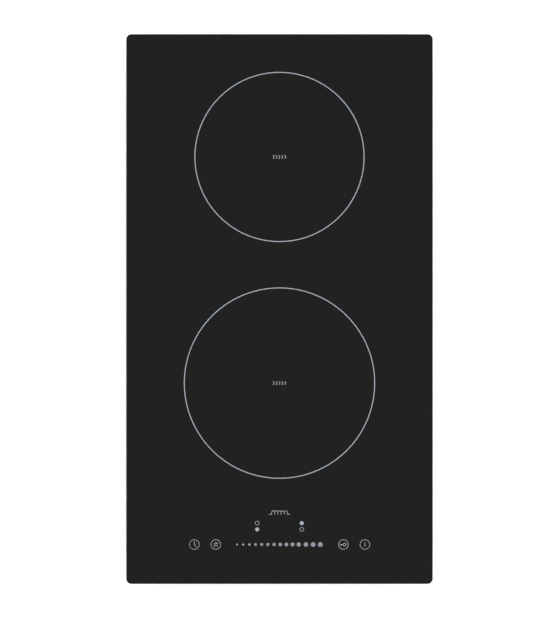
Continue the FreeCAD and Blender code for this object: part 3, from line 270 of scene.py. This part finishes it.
def circuit_board(name, colour):
    """Solder mask over copper tracks, which show as paler and raised runs, along or across."""
    made = Finish(name)
    length, pitch = 11.0 * MM, 1.5 * MM
    lines = math.pi / 10 / pitch
    along = made.product(made.fields(length, pitch), made.bands(lines, "Y"))
    across = made.product(made.fields(pitch, length), made.bands(lines, "X"))
    region = made.tree.nodes.new("ShaderNodeMix")
    made.link(made.fields(2 * length, 2 * length), region.inputs["Factor"])
    made.link(along, region.inputs["A"])
    made.link(across, region.inputs["B"])
    tracks = region.outputs["Result"]
    made.colour(tracks, shade(colour, 0.75), shade(colour, 1.7), 0.24, 0.34)
    made.roughness(made.noise(350.0, 3.0), 0.28, 0.42)
    return made.bump(tracks, 0.00003, 0.5)


def flaked(name, colour):
    """Pressed mica: overlapping translucent flakes with a silvery cast."""
    made = Finish(name)
    flakes = made.cells(260.0)
    made.colour(flakes, shade(colour, 0.75), shade(colour, 1.2), 0.1, 0.9)
    made.roughness(flakes, 0.3, 0.6)
    return made.bump(flakes, 0.00004, 0.5)


def striped(name, colour):
    """Flat cable: moulded ribs, one over each conductor, with painted shade darkening the grooves
    between them.
    """
    made = Finish(name)
    ridges_and_groove_shade = made.bands(124.0, "X")
    # Painted shade: the colour darkens in the grooves between the ribs, following the bump.
    made.colour(ridges_and_groove_shade, shade(colour, 0.75), shade(colour, 1.12), 0.1, 0.8)
    made.roughness(made.noise(400.0), 0.42, 0.56)
    return made.bump(ridges_and_groove_shade, 0.0003, 0.8)


def laminated(name, colour):
    """Stacked core sheets, seen as fine level lines."""
    made = Finish(name, metallic=0.6)
    sheets = made.bands(310.0, "Z")
    made.colour(sheets, shade(colour, 0.6), shade(colour, 1.2), 0.1, 0.7)
    made.roughness(made.noise(500.0, 3.0), 0.4, 0.6)
    return made.bump(sheets, 0.00006, 0.7)


def black_glass(name):
    """Polished black glass ceramic with an even, very fine smear in its gloss."""
    made = Finish(name, ior=1.54)
    made.colour(made.noise(500.0, 2.0), (0.0081, 0.0081, 0.0081), (0.0098, 0.0098, 0.0098))
    made.roughness(made.noise(26.0, 5.0, 0.6), 0.035, 0.07)
    return made.bump(made.noise(700.0, 2.0), 0.0000006, 0.4)


def enamel(name, colour):
    """Fired ceramic enamel with a fine matt grain."""
    made = Finish(name, ior=1.5)
    made.colour(made.noise(1500.0, 3.0), shade(colour, 0.93), shade(colour, 1.07))
    made.roughness(made.noise(900.0, 3.0), 0.4, 0.58)
    return made.bump(made.noise(4000.0, 2.0), 0.000006, 0.5)


FINISHES = {
    "black_glass": (black_glass,),
    "print_enamel": (enamel, (0.46, 0.47, 0.48)),
    "seal_foam": (foam, (0.03, 0.03, 0.031)),
    "silicone": (rubbery, (0.03, 0.03, 0.031), (0.35, 0.5)),
    "zinc_sheet": (spangled, (0.50, 0.515, 0.53)),
    "clamp_steel": (plated, (0.66, 0.67, 0.68)),
    "screw_steel": (plated, (0.70, 0.69, 0.66), (0.18, 0.3)),
    "aluminium_sheet": (drawn, (0.78, 0.79, 0.80), (60.0, 1600.0, 900.0)),
    "aluminium_extrusion": (drawn, (0.72, 0.73, 0.74), (1700.0, 40.0, 1700.0)),
    "former_plastic": (moulded, (0.05, 0.05, 0.055), (0.5, 0.66), 0.00004),
    "litz_copper": (stranded, (0.78, 0.36, 0.17)),
    "ferrite": (sintered, (0.055, 0.055, 0.06)),
    "mica": (flaked, (0.62, 0.55, 0.40)),
    "sensor_silicone": (moulded, (0.82, 0.82, 0.80), (0.45, 0.6)),
    "spring_steel": (plated, (0.62, 0.62, 0.64), (0.24, 0.38)),
    "lead_sleeve": (woven, (0.72, 0.68, 0.58)),
    "board_laminate": (circuit_board, (0.012, 0.14, 0.05)),
    "brass": (drawn, (0.80, 0.60, 0.26), (500.0, 2600.0, 500.0), (0.18, 0.32)),
    "chip_resin": (moulded, (0.022, 0.022, 0.023), (0.48, 0.64), 0.00004),
    "film_capacitor": (moulded, (0.48, 0.50, 0.55), (0.22, 0.34), 0.000006),
    "capacitor_sleeve": (moulded, (0.02, 0.03, 0.09), (0.16, 0.28), 0.000006),
    "choke_ferrite": (sintered, (0.05, 0.12, 0.07)),
    "transformer": (laminated, (0.60, 0.44, 0.10)),
    "relay_plastic": (moulded, (0.02, 0.07, 0.28), (0.24, 0.36), 0.000008),
    "connector_nylon": (moulded, (0.80, 0.78, 0.68), (0.4, 0.55)),
    "lead_pvc": (moulded, (0.20, 0.09, 0.04), (0.35, 0.5)),
    "fan_plastic": (moulded, (0.022, 0.022, 0.024), (0.4, 0.56)),
    "stator_steel": (laminated, (0.34, 0.31, 0.29)),
    "carrier_plastic": (moulded, (0.74, 0.74, 0.71), (0.42, 0.56)),
    "light_guide": (moulded, (0.80, 0.84, 0.88), (0.08, 0.16), 0.000004),
    "buzzer_plastic": (moulded, (0.02, 0.02, 0.02), (0.42, 0.56)),
    "ribbon": (striped, (0.46, 0.47, 0.49)),
    "tub_plastic": (moulded, (0.028, 0.028, 0.03), (0.44, 0.6), 0.00003),
    "block_plastic": (moulded, (0.78, 0.78, 0.74), (0.36, 0.5)),
    "bush_rubber": (rubbery, (0.022, 0.022, 0.022)),
}


def make_finish(slot):
    maker, *details = FINISHES[slot]
    return maker(slot + "_finish", *details).material


finishes = {slot: make_finish(slot) for slot in FINISHES}
blue_enamel = enamel("blue_enamel_finish", (0.390, 0.440, 0.497)).material
slate_enamel = enamel("slate_enamel_finish", (0.266, 0.300, 0.340)).material

for node in nodes.values():
    for holder in node.material_slots:
        holder.material = finishes[holder.material.name.split(".")[0]]


# ---------------------------------------------------------------- mesh tools

def piece_from(name, vertices, faces, slot, body, smooth=True):
    """A new piece from points in metres, with its finish, riding on a body."""
    mesh = bpy.data.meshes.new(name)
    mesh.from_pydata(vertices, [], faces)
    mesh.update()
    mesh.polygons.foreach_set("use_smooth", [smooth] * len(mesh.polygons))
    mesh.materials.append(finishes[slot])
    made = bpy.data.objects.new(name, mesh)
    bpy.context.scene.collection.objects.link(made)
    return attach(made, body)


def skin(loops, closed=False, capped=True):
    """Faces that join loops of equal length, which run anticlockwise seen from the last one."""
    count = len(loops[0])
    vertices = [point for loop in loops for point in loop]
    faces = []
    pairs = [(i, i + 1) for i in range(len(loops) - 1)]
    if closed:
        pairs.append((len(loops) - 1, 0))
    for low, high in pairs:
        for i in range(count):
            j = (i + 1) % count
            faces.append((low * count + i, low * count + j, high * count + j, high * count + i))
    if capped and not closed:
        faces.append(tuple(range(count))[::-1])
        faces.append(tuple((len(loops) - 1) * count + i for i in range(count)))
    return vertices, faces


def rounded_outline(half_x, half_y, corner, steps):
    points = []
    for sx, sy, start in ((1, 1, 0), (-1, 1, 90), (-1, -1, 180), (1, -1, 270)):
        for i in range(steps + 1):
            angle = math.radians(start + 90.0 * i / steps)
            points.append((sx * (half_x - corner) + corner * math.cos(angle),
                           sy * (half_y - corner) + corner * math.sin(angle)))
    return points


# ---------------------------------------------------------------- glass

GLASS_CORNER = 5.0 * MM
ARRIS = 0.6 * MM
ENAMEL_PROUD = 0.015 * MM

glass_low, glass_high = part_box("glass_plate")
glass_top = glass_high.z - ENAMEL_PROUD


def glass_sections():
    """Inset and height of each loop, from the middle of the underside round to that of the top."""
    turns = [math.radians(90.0 * i / 6) for i in range(7)]
    below = [(ARRIS * (1 - math.sin(t)), glass_low.z + ARRIS * (1 - math.cos(t))) for t in turns]
    above = [(inset, glass_top - (z - glass_low.z)) for inset, z in reversed(below)]
    return [(3 * ARRIS, glass_low.z)] + below + above + [(3 * ARRIS, glass_top)]


def build_glass():
    centre = (glass_low + glass_high) / 2
    half = (glass_high - glass_low) / 2
    loops = []
    for inset, z in glass_sections():
        outline = rounded_outline(half.x - inset, half.y - inset, GLASS_CORNER - inset, 18)
        loops.append([(centre.x + x, centre.y + y, z) for x, y in outline])
    made = piece_from("glass_top", *skin(loops), "black_glass", "housing")
    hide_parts("glass_plate")


build_glass()


# ---------------------------------------------------------------- windings and wires

WINDING_INNER = 22.0
WINDING_PITCH = 2.6
WIRE_RADIUS = 1.2
TURNS = {"rear": 19, "front": 23}
SPRING_RADIUS = 4.2
SPRING_WIRE_RADIUS = 0.45
SPRING_TURNS = 4.5
STEPS_A_TURN = 32
WINDING_TO_EAR = 9.6
LEAD_OFFSET = 3.0
LEAD_BEND = 8.0


def tube(path, radius, sides=12):
    """Loops of a round wire along a path, turned as little as possible from point to point."""
    loops = []
    side = None
    for i, point in enumerate(path):
        heading = (path[min(i + 1, len(path) - 1)] - path[max(i - 1, 0)]).normalized()
        side = side or heading.orthogonal()
        side = (side - heading * side.dot(heading)).normalized()
        rise = heading.cross(side)
        turns = [2 * math.pi * k / sides for k in range(sides)]
        loops.append([point + (side * math.cos(t) + rise * math.sin(t)) * radius for t in turns])
    return loops


def gathered(skins):
    """Several closed skins as the points and faces of one mesh."""
    vertices, faces = [], []
    for points, sides in skins:
        first = len(vertices)
        vertices += points
        faces += [tuple(first + i for i in side) for side in sides]
    return vertices, faces


def spiral_path(centre, turns):
    """Points along half turns about two alternate centres, as the CAD winding is laid."""
    path = []
    start_x = WINDING_INNER
    for half_turn in range(2 * turns):
        side = 1 if half_turn % 2 == 0 else -1
        radius = WINDING_INNER + half_turn * WINDING_PITCH / 2 + WINDING_PITCH / 4
        middle_x = start_x - side * radius
        for i in range(36 + (half_turn == 2 * turns - 1)):
            angle = math.radians(5.0 * i) + (0.0 if side == 1 else math.pi)
            path.append(centre + Vector((middle_x + radius * math.cos(angle),
                                         radius * math.sin(angle), 0.0)) * MM)
        start_x = middle_x - side * radius
    return path


def helix_path(x, y, low, high, radius, turns):
    """Points up a spring from height low to height high, all in metres."""
    steps = int(STEPS_A_TURN * turns)
    return [Vector((x + radius * math.cos(2 * math.pi * i / STEPS_A_TURN),
                    y + radius * math.sin(2 * math.pi * i / STEPS_A_TURN),
                    low + (high - low) * i / steps)) for i in range(steps + 1)]


def build_winding(side):
    """A smooth round wire laid where the CAD winding lies."""
    low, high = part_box(side + "_coil_winding")
    zone = mounts[side + "_cooking_zone"]
    path = spiral_path(Vector((zone.x, zone.y, (low.z + high.z) / 2)), TURNS[side])
    made = piece_from(side + "_litz_winding", *skin(tube(path, WIRE_RADIUS * MM)), "litz_copper",
                      side + "_coil")
    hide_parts(side + "_coil_winding")


def shortens(piece):
    """The piece stands on the housing under the coil; it gets a mesh of its own."""
    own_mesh(piece)


def build_coil_springs(side):
    """Four round-wire springs under the coil's ears."""
    node = side + "_coil_springs"
    low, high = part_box(node)
    zone = mounts[side + "_cooking_zone"]
    wire = SPRING_WIRE_RADIUS * MM
    reach = WINDING_INNER + TURNS[side] * WINDING_PITCH + WINDING_TO_EAR
    reach *= MM * math.cos(math.radians(45))
    skins = []
    for sx in (-1, 1):
        for sy in (-1, 1):
            path = helix_path(zone.x + sx * reach, zone.y + sy * reach, low.z + wire,
                              high.z - wire, SPRING_RADIUS * MM, SPRING_TURNS)
            skins.append(skin(tube(path, wire, 10)))
    made = piece_from(side + "_float_springs", *gathered(skins), "spring_steel", "housing")
    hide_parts(node)
    shortens(made)


def build_coil_leads(side):
    """Two sleeved leads from the coil's rim, bent down to the power board."""
    node = side + "_coil_leads"
    low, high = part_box(node)
    zone = mounts[side + "_cooking_zone"]
    radius = WIRE_RADIUS * MM
    bend = LEAD_BEND * MM
    run_z = high.z - radius
    drop_x = high.x - radius
    skins = []
    for sy in (-1, 1):
        y = zone.y + sy * LEAD_OFFSET * MM
        path = [Vector((low.x, y, run_z))]
        for i in range(13):
            angle = math.radians(90.0 - 7.5 * i)
            path.append(Vector((drop_x - bend + bend * math.cos(angle), y,
                                run_z - bend + bend * math.sin(angle))))
        path.append(Vector((drop_x, y, low.z)))
        skins.append(skin(tube(path, radius)))
    made = piece_from(side + "_litz_leads", *gathered(skins), "lead_sleeve", "housing")
    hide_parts(node)
    shortens(made)


for side in TURNS:
    build_winding(side)
    build_coil_springs(side)
    build_coil_leads(side)


# ---------------------------------------------------------------- printed marks

# Millimetres
PRINT_HIGH = glass_high.z / MM
PRINT_LOW = PRINT_HIGH - 0.1
PRINT_ROUNDING = 0.012
RING_LINE = 0.8
ICON_Y = -222.6
ICON_RADIUS = 4.55
ICON_LINE = 0.36
STROKE_LINE = 0.45
CLOCK_X = -80.5
BOOST_X = -60.2
LOCK_X = 60.5
POWER_X = 80.8
BOW_RADIUS = 1.3
DOT_COUNT = 14
DOT_FIRST_X = -40.1
DOT_PITCH = 5.83
DOT_WIDE_PITCH = 6.8
DOT_EVEN_COUNT = 11
DOT_LOW_COUNT = 3
DOT_LOW_FIRST = 1.45
DOT_LOW_STEP = 0.27
DOT_FIRST = 2.5
DOT_STEP = 0.2
INDICATOR_X = 21.1
INDICATOR_ROWS = (-202.4, -208.3)
INDICATOR_RADIUS = 1.83
INDICATOR_LINE = 0.4
SYMBOL_Y = -192.2
SYMBOL_LINE = 0.4
LOOP_RADIUS = 1.5
LOOP_COUNT = 5
LOOP_LEG = 1.85
SYMBOL_LEAD = 2.5
CHEVRON_COLUMNS = 5
CHEVRON_PITCH = 2.75
CHEVRON_HALF_WIDTH = 0.85
CHEVRON_HALF_HEIGHT = 1.75
CHEVRON_LINE = 0.55
SLIVER = 0.002


def arc_points(x, y, radius, start=0.0, end=360.0, steps=48):
    whole = abs(end - start) >= 360.0
    last = steps if whole else steps + 1
    return [(x + radius * math.cos(math.radians(start + (end - start) * i / steps)),
             y + radius * math.sin(math.radians(start + (end - start) * i / steps)))
            for i in range(last)]


def solid_mark(outline):
    """An upright prism of enamel."""
    return skin([[(x, y, z) for x, y in outline] for z in (PRINT_LOW, PRINT_HIGH)])


def ring_mark(x, y, radius, line, steps=48):
    """A closed band whose top edges are slightly rounded."""
    half = line / 2
    shoulder = PRINT_HIGH - PRINT_ROUNDING
    profile = [(half, PRINT_LOW), (half, shoulder), (half * 0.8, PRINT_HIGH),
               (-half * 0.8, PRINT_HIGH), (-half, shoulder), (-half, PRINT_LOW)]
    loops = [[(px, py, z) for px, py in arc_points(x, y, radius + offset, steps=steps)]
             for offset, z in profile]
    return skin(loops, closed=True)


def stroke_mark(x0, y0, x1, y1, line):
    """A straight stroke with round ends."""
    heading = math.degrees(math.atan2(y1 - y0, x1 - x0))
    outline = arc_points(x1, y1, line / 2, heading - 90, heading + 90, 12)
    outline += arc_points(x0, y0, line / 2, heading + 90, heading + 270, 12)
    return solid_mark(outline)


def chevron_mark(x, y, half_width, rise, weight):
    low = y - (rise + weight) / 2
    return solid_mark([(x + half_width, low), (x + half_width, low + weight),
                       (x, low + rise + weight), (x - half_width, low + weight),
                       (x - half_width, low), (x, low + rise)])


def scratch_object(mark):
    mesh = bpy.data.meshes.new("scratch")
    mesh.from_pydata(mark[0], [], mark[1])
    return bpy.data.objects.new("scratch", mesh)


def merged(marks):
    """One closed mesh from marks that overlap."""
    whole, *others = [scratch_object(mark) for mark in marks]
    group = bpy.data.collections.new("scratch")
    for other in others:
        group.objects.link(other)
    bpy.context.scene.collection.objects.link(whole)
    bpy.context.scene.collection.children.link(group)
    union = whole.modifiers.new("union", "BOOLEAN")
    union.operation = "UNION"
    union.operand_type = "COLLECTION"
    union.collection = group
    union.solver = "EXACT"
    bpy.context.view_layer.update()
    shape = bmesh.new()
    shape.from_object(whole, bpy.context.evaluated_depsgraph_get())
    bmesh.ops.remove_doubles(shape, verts=shape.verts, dist=SLIVER)
    bmesh.ops.dissolve_degenerate(shape, edges=shape.edges, dist=SLIVER)
    shape.verts.index_update()
    result = ([tuple(v.co) for v in shape.verts],
              [tuple(v.index for v in face.verts) for face in shape.faces])
    shape.free()
    for used in [whole] + others:
        bpy.data.meshes.remove(used.data)
    bpy.data.collections.remove(group)
    return result


def enamel_piece(name, marks, node, tint=None):
    """Separate marks, each a closed mesh, as one printed piece in metres."""
    vertices, faces = gathered(marks)
    vertices = [(x * MM, y * MM, z * MM) for x, y, z in vertices]
    made = piece_from(name, vertices, faces, "print_enamel", "housing", smooth=False)
    if tint:
        made.data.materials[0] = tint
    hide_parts(node)


def power_chevrons(centre_y):
    """Five chevrons in a row, pointing right."""
    low, high = centre_y - CHEVRON_HALF_HEIGHT, centre_y + CHEVRON_HALF_HEIGHT
    marks = []
    for column in range(CHEVRON_COLUMNS):
        x = (column - (CHEVRON_COLUMNS - 1) / 2) * CHEVRON_PITCH
        back, tip = x - CHEVRON_HALF_WIDTH, x + CHEVRON_HALF_WIDTH
        marks.append(solid_mark([(back, high), (tip - CHEVRON_LINE, centre_y), (back, low),
                                 (back + CHEVRON_LINE, low), (tip, centre_y),
                                 (back + CHEVRON_LINE, high)]))
    return marks


def zone_radius(zone):
    """A ring's radius in millimetres: the outer edge of the zone's print, less half a line."""
    print_low, print_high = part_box("zone_print")
    if zone.y > 0:
        return (print_high.y - zone.y) / MM - RING_LINE / 2
    return (zone.y - print_low.y) / MM - RING_LINE / 2


for side in ("rear", "front"):
    zone = mounts[side + "_cooking_zone"]
    ring = ring_mark(zone.x / MM, zone.y / MM, zone_radius(zone), RING_LINE, 288)
    enamel_piece(side + "_zone_ring", [ring], "zone_print", blue_enamel)
    enamel_piece(side + "_full_power_mark", power_chevrons(zone.y / MM), "zone_print")


def key_ring(x):
    return ring_mark(x, ICON_Y, ICON_RADIUS, ICON_LINE, 72)


def clock_mark():
    hands = merged([stroke_mark(CLOCK_X, ICON_Y + 0.2, CLOCK_X, ICON_Y + 2.9, STROKE_LINE),
                    stroke_mark(CLOCK_X, ICON_Y + 0.2, CLOCK_X + 1.6, ICON_Y - 2.1, STROKE_LINE)])
    return [key_ring(CLOCK_X), hands]


def boost_mark():
    return [key_ring(BOOST_X)] + [chevron_mark(BOOST_X, ICON_Y + lift, 1.9, 1.6, 0.6)
                                  for lift in (-1.1, 1.1)]


def lock_mark():
    bow_x = LOCK_X + 1.1
    strokes = [stroke_mark(LOCK_X - 2.9, ICON_Y, bow_x - BOW_RADIUS, ICON_Y, STROKE_LINE)]
    strokes += [stroke_mark(x, ICON_Y, x, ICON_Y - 0.9, STROKE_LINE)
                for x in (LOCK_X - 2.8, LOCK_X - 1.9)]
    bow = ring_mark(bow_x, ICON_Y, BOW_RADIUS, STROKE_LINE, 40)
    return [key_ring(LOCK_X), merged([bow] + strokes)]


def power_mark():
    stroke = stroke_mark(POWER_X, ICON_Y - 1.7, POWER_X, ICON_Y + 1.7, STROKE_LINE)
    return [key_ring(POWER_X), stroke]


def slider_marks():
    """The first dots are the smallest; the others grow evenly to the right."""
    dots = []
    x = DOT_FIRST_X
    for i in range(DOT_COUNT):
        diameter = DOT_LOW_FIRST + DOT_LOW_STEP * i
        if i >= DOT_LOW_COUNT:
            diameter = DOT_FIRST + DOT_STEP * (i - DOT_LOW_COUNT)
        dots.append(solid_mark(arc_points(x, ICON_Y, diameter / 2)))
        x += DOT_PITCH if i + 1 < DOT_EVEN_COUNT else DOT_WIDE_PITCH
    return dots


def indicator_marks():
    """Two lamps a side: a filled dot for the zone that is set, a ring for the other."""
    marks = []
    for side in (-1, 1):
        for row, y in zip((1, -1), INDICATOR_ROWS):
            if side == row:
                marks.append(solid_mark(arc_points(side * INDICATOR_X, y, INDICATOR_RADIUS)))
            else:
                marks.append(ring_mark(side * INDICATOR_X, y, INDICATOR_RADIUS, INDICATOR_LINE))
    return marks


def coil_symbol_mark():
    """A generic winding symbol: loops between two leads."""
    foot = SYMBOL_Y - LOOP_LEG
    last_x = LOOP_COUNT * LOOP_RADIUS
    strokes = []
    for i in range(LOOP_COUNT):
        x = (2 * i + 1) * LOOP_RADIUS - last_x
        outer = arc_points(x, SYMBOL_Y, LOOP_RADIUS + SYMBOL_LINE / 2, 0, 180, 24)
        inner = arc_points(x, SYMBOL_Y, LOOP_RADIUS - SYMBOL_LINE / 2, 180, 0, 24)
        strokes.append(solid_mark(outer + inner))
    for i in range(LOOP_COUNT + 1):
        x = 2 * i * LOOP_RADIUS - last_x
        strokes.append(stroke_mark(x, foot, x, SYMBOL_Y, SYMBOL_LINE))
    for side in (-1, 1):
        end_x = side * (last_x + SYMBOL_LEAD)
        strokes.append(stroke_mark(side * last_x, foot, end_x, foot, SYMBOL_LINE))
    return [merged(strokes)]


enamel_piece("timer_key_mark", clock_mark(), "control_print")
enamel_piece("boost_key_mark", boost_mark(), "control_print")
enamel_piece("lock_key_mark", lock_mark(), "control_print")
enamel_piece("power_key_mark", power_mark(), "control_print")
dots = slider_marks()
enamel_piece("level_slider_low_marks", dots[:DOT_LOW_COUNT], "control_print")
enamel_piece("level_slider_marks", dots[DOT_LOW_COUNT:], "control_print", slate_enamel)
enamel_piece("zone_indicator_marks", indicator_marks(), "control_print", blue_enamel)
enamel_piece("coil_symbol_mark", coil_symbol_mark(), "control_print")


# ---------------------------------------------------------------- studio

FLOOR_RADIUS = 14.0
FLOOR_GLOW = 0.48
SKY_STOPS = ((0.0, 0.9), (0.08, 0.7), (0.22, 0.36), (0.6, 0.24), (0.93, 0.15))
LAMP_AZIMUTHS = (40, 140, 220, 320)
LAMP_ELEVATION = 58
LAMP_DISTANCE = 3.0
LAMP_SIZE = 1.35
LAMP_POWER = 23.0
LENS = 120.0
SENSOR = 36.0
SEEN_HEIGHT = 0.5862
CAMERA_X = 0.0005
CAMERA_Y = -0.0009


def build_floor():
    """A wide disc under the casing, out to the horizon of the low views."""
    rim = arc_points(0.0, 0.0, FLOOR_RADIUS, steps=72)
    mesh = bpy.data.meshes.new("studio_floor")
    mesh.from_pydata([(x, y, cad_low.z) for x, y in rim], [], [tuple(range(len(rim)))])
    floor = bpy.data.objects.new("studio_floor", mesh)
    bpy.context.scene.collection.objects.link(floor)
    paint = Finish("studio_floor_finish")
    paint.colour(paint.noise(3.0, 3.0), (0.84, 0.84, 0.84), (0.87, 0.87, 0.87))
    paint.roughness(paint.noise(8.0, 3.0), 0.7, 0.85)
    paint.set(Emission_Color=(1.0, 1.0, 1.0, 1.0), Emission_Strength=FLOOR_GLOW)
    mesh.materials.append(paint.material)


def build_sky():
    """Bright at the horizon and dark overhead, where the glass looks when seen from above."""
    world = bpy.data.worlds.new("studio_sky")
    bpy.context.scene.world = world
    world.use_nodes = True
    tree = world.node_tree
    place = tree.nodes.new("ShaderNodeTexCoord")
    parts = tree.nodes.new("ShaderNodeSeparateXYZ")
    ramp = tree.nodes.new("ShaderNodeValToRGB")
    tree.links.new(place.outputs["Generated"], parts.inputs["Vector"])
    tree.links.new(parts.outputs["Z"], ramp.inputs["Fac"])
    tree.links.new(ramp.outputs["Color"], tree.nodes["Background"].inputs["Color"])
    elements = ramp.color_ramp.elements
    while len(elements) < len(SKY_STOPS):
        elements.new(0.5)
    for element, (position, level) in zip(elements, SKY_STOPS):
        element.position = position
        element.color = (level, level, level, 1.0)


def build_softbox(name, azimuth):
    """A round lamp aimed at the object and unseen in the glass, which stays an even black."""
    lamp = bpy.data.lights.new(name, "AREA")
    lamp.shape = "DISK"
    lamp.size = LAMP_SIZE
    lamp.energy = LAMP_POWER
    holder = bpy.data.objects.new(name, lamp)
    bpy.context.scene.collection.objects.link(holder)
    a, e = math.radians(azimuth), math.radians(LAMP_ELEVATION)
    away = Vector((math.sin(a) * math.cos(e), -math.cos(a) * math.cos(e), math.sin(e)))
    holder.location = away * LAMP_DISTANCE
    holder.visible_glossy = False
    holder.rotation_euler = away.to_track_quat("Z", "Y").to_euler()


def build_camera():
    """Straight down on the middle of the glass, far enough back for the lens to see it whole."""
    camera = bpy.data.cameras.new("camera")
    camera.lens = LENS
    camera.sensor_width = SENSOR
    holder = bpy.data.objects.new("camera", camera)
    bpy.context.scene.collection.objects.link(holder)
    holder.location = (CAMERA_X, CAMERA_Y, glass_high.z + SEEN_HEIGHT * LENS / SENSOR)
    bpy.context.scene.camera = holder


build_floor()
build_sky()
for number, azimuth in enumerate(LAMP_AZIMUTHS):
    build_softbox("softbox_%d" % number, azimuth)
build_camera()
bpy.context.scene.view_settings.view_transform = "Standard"
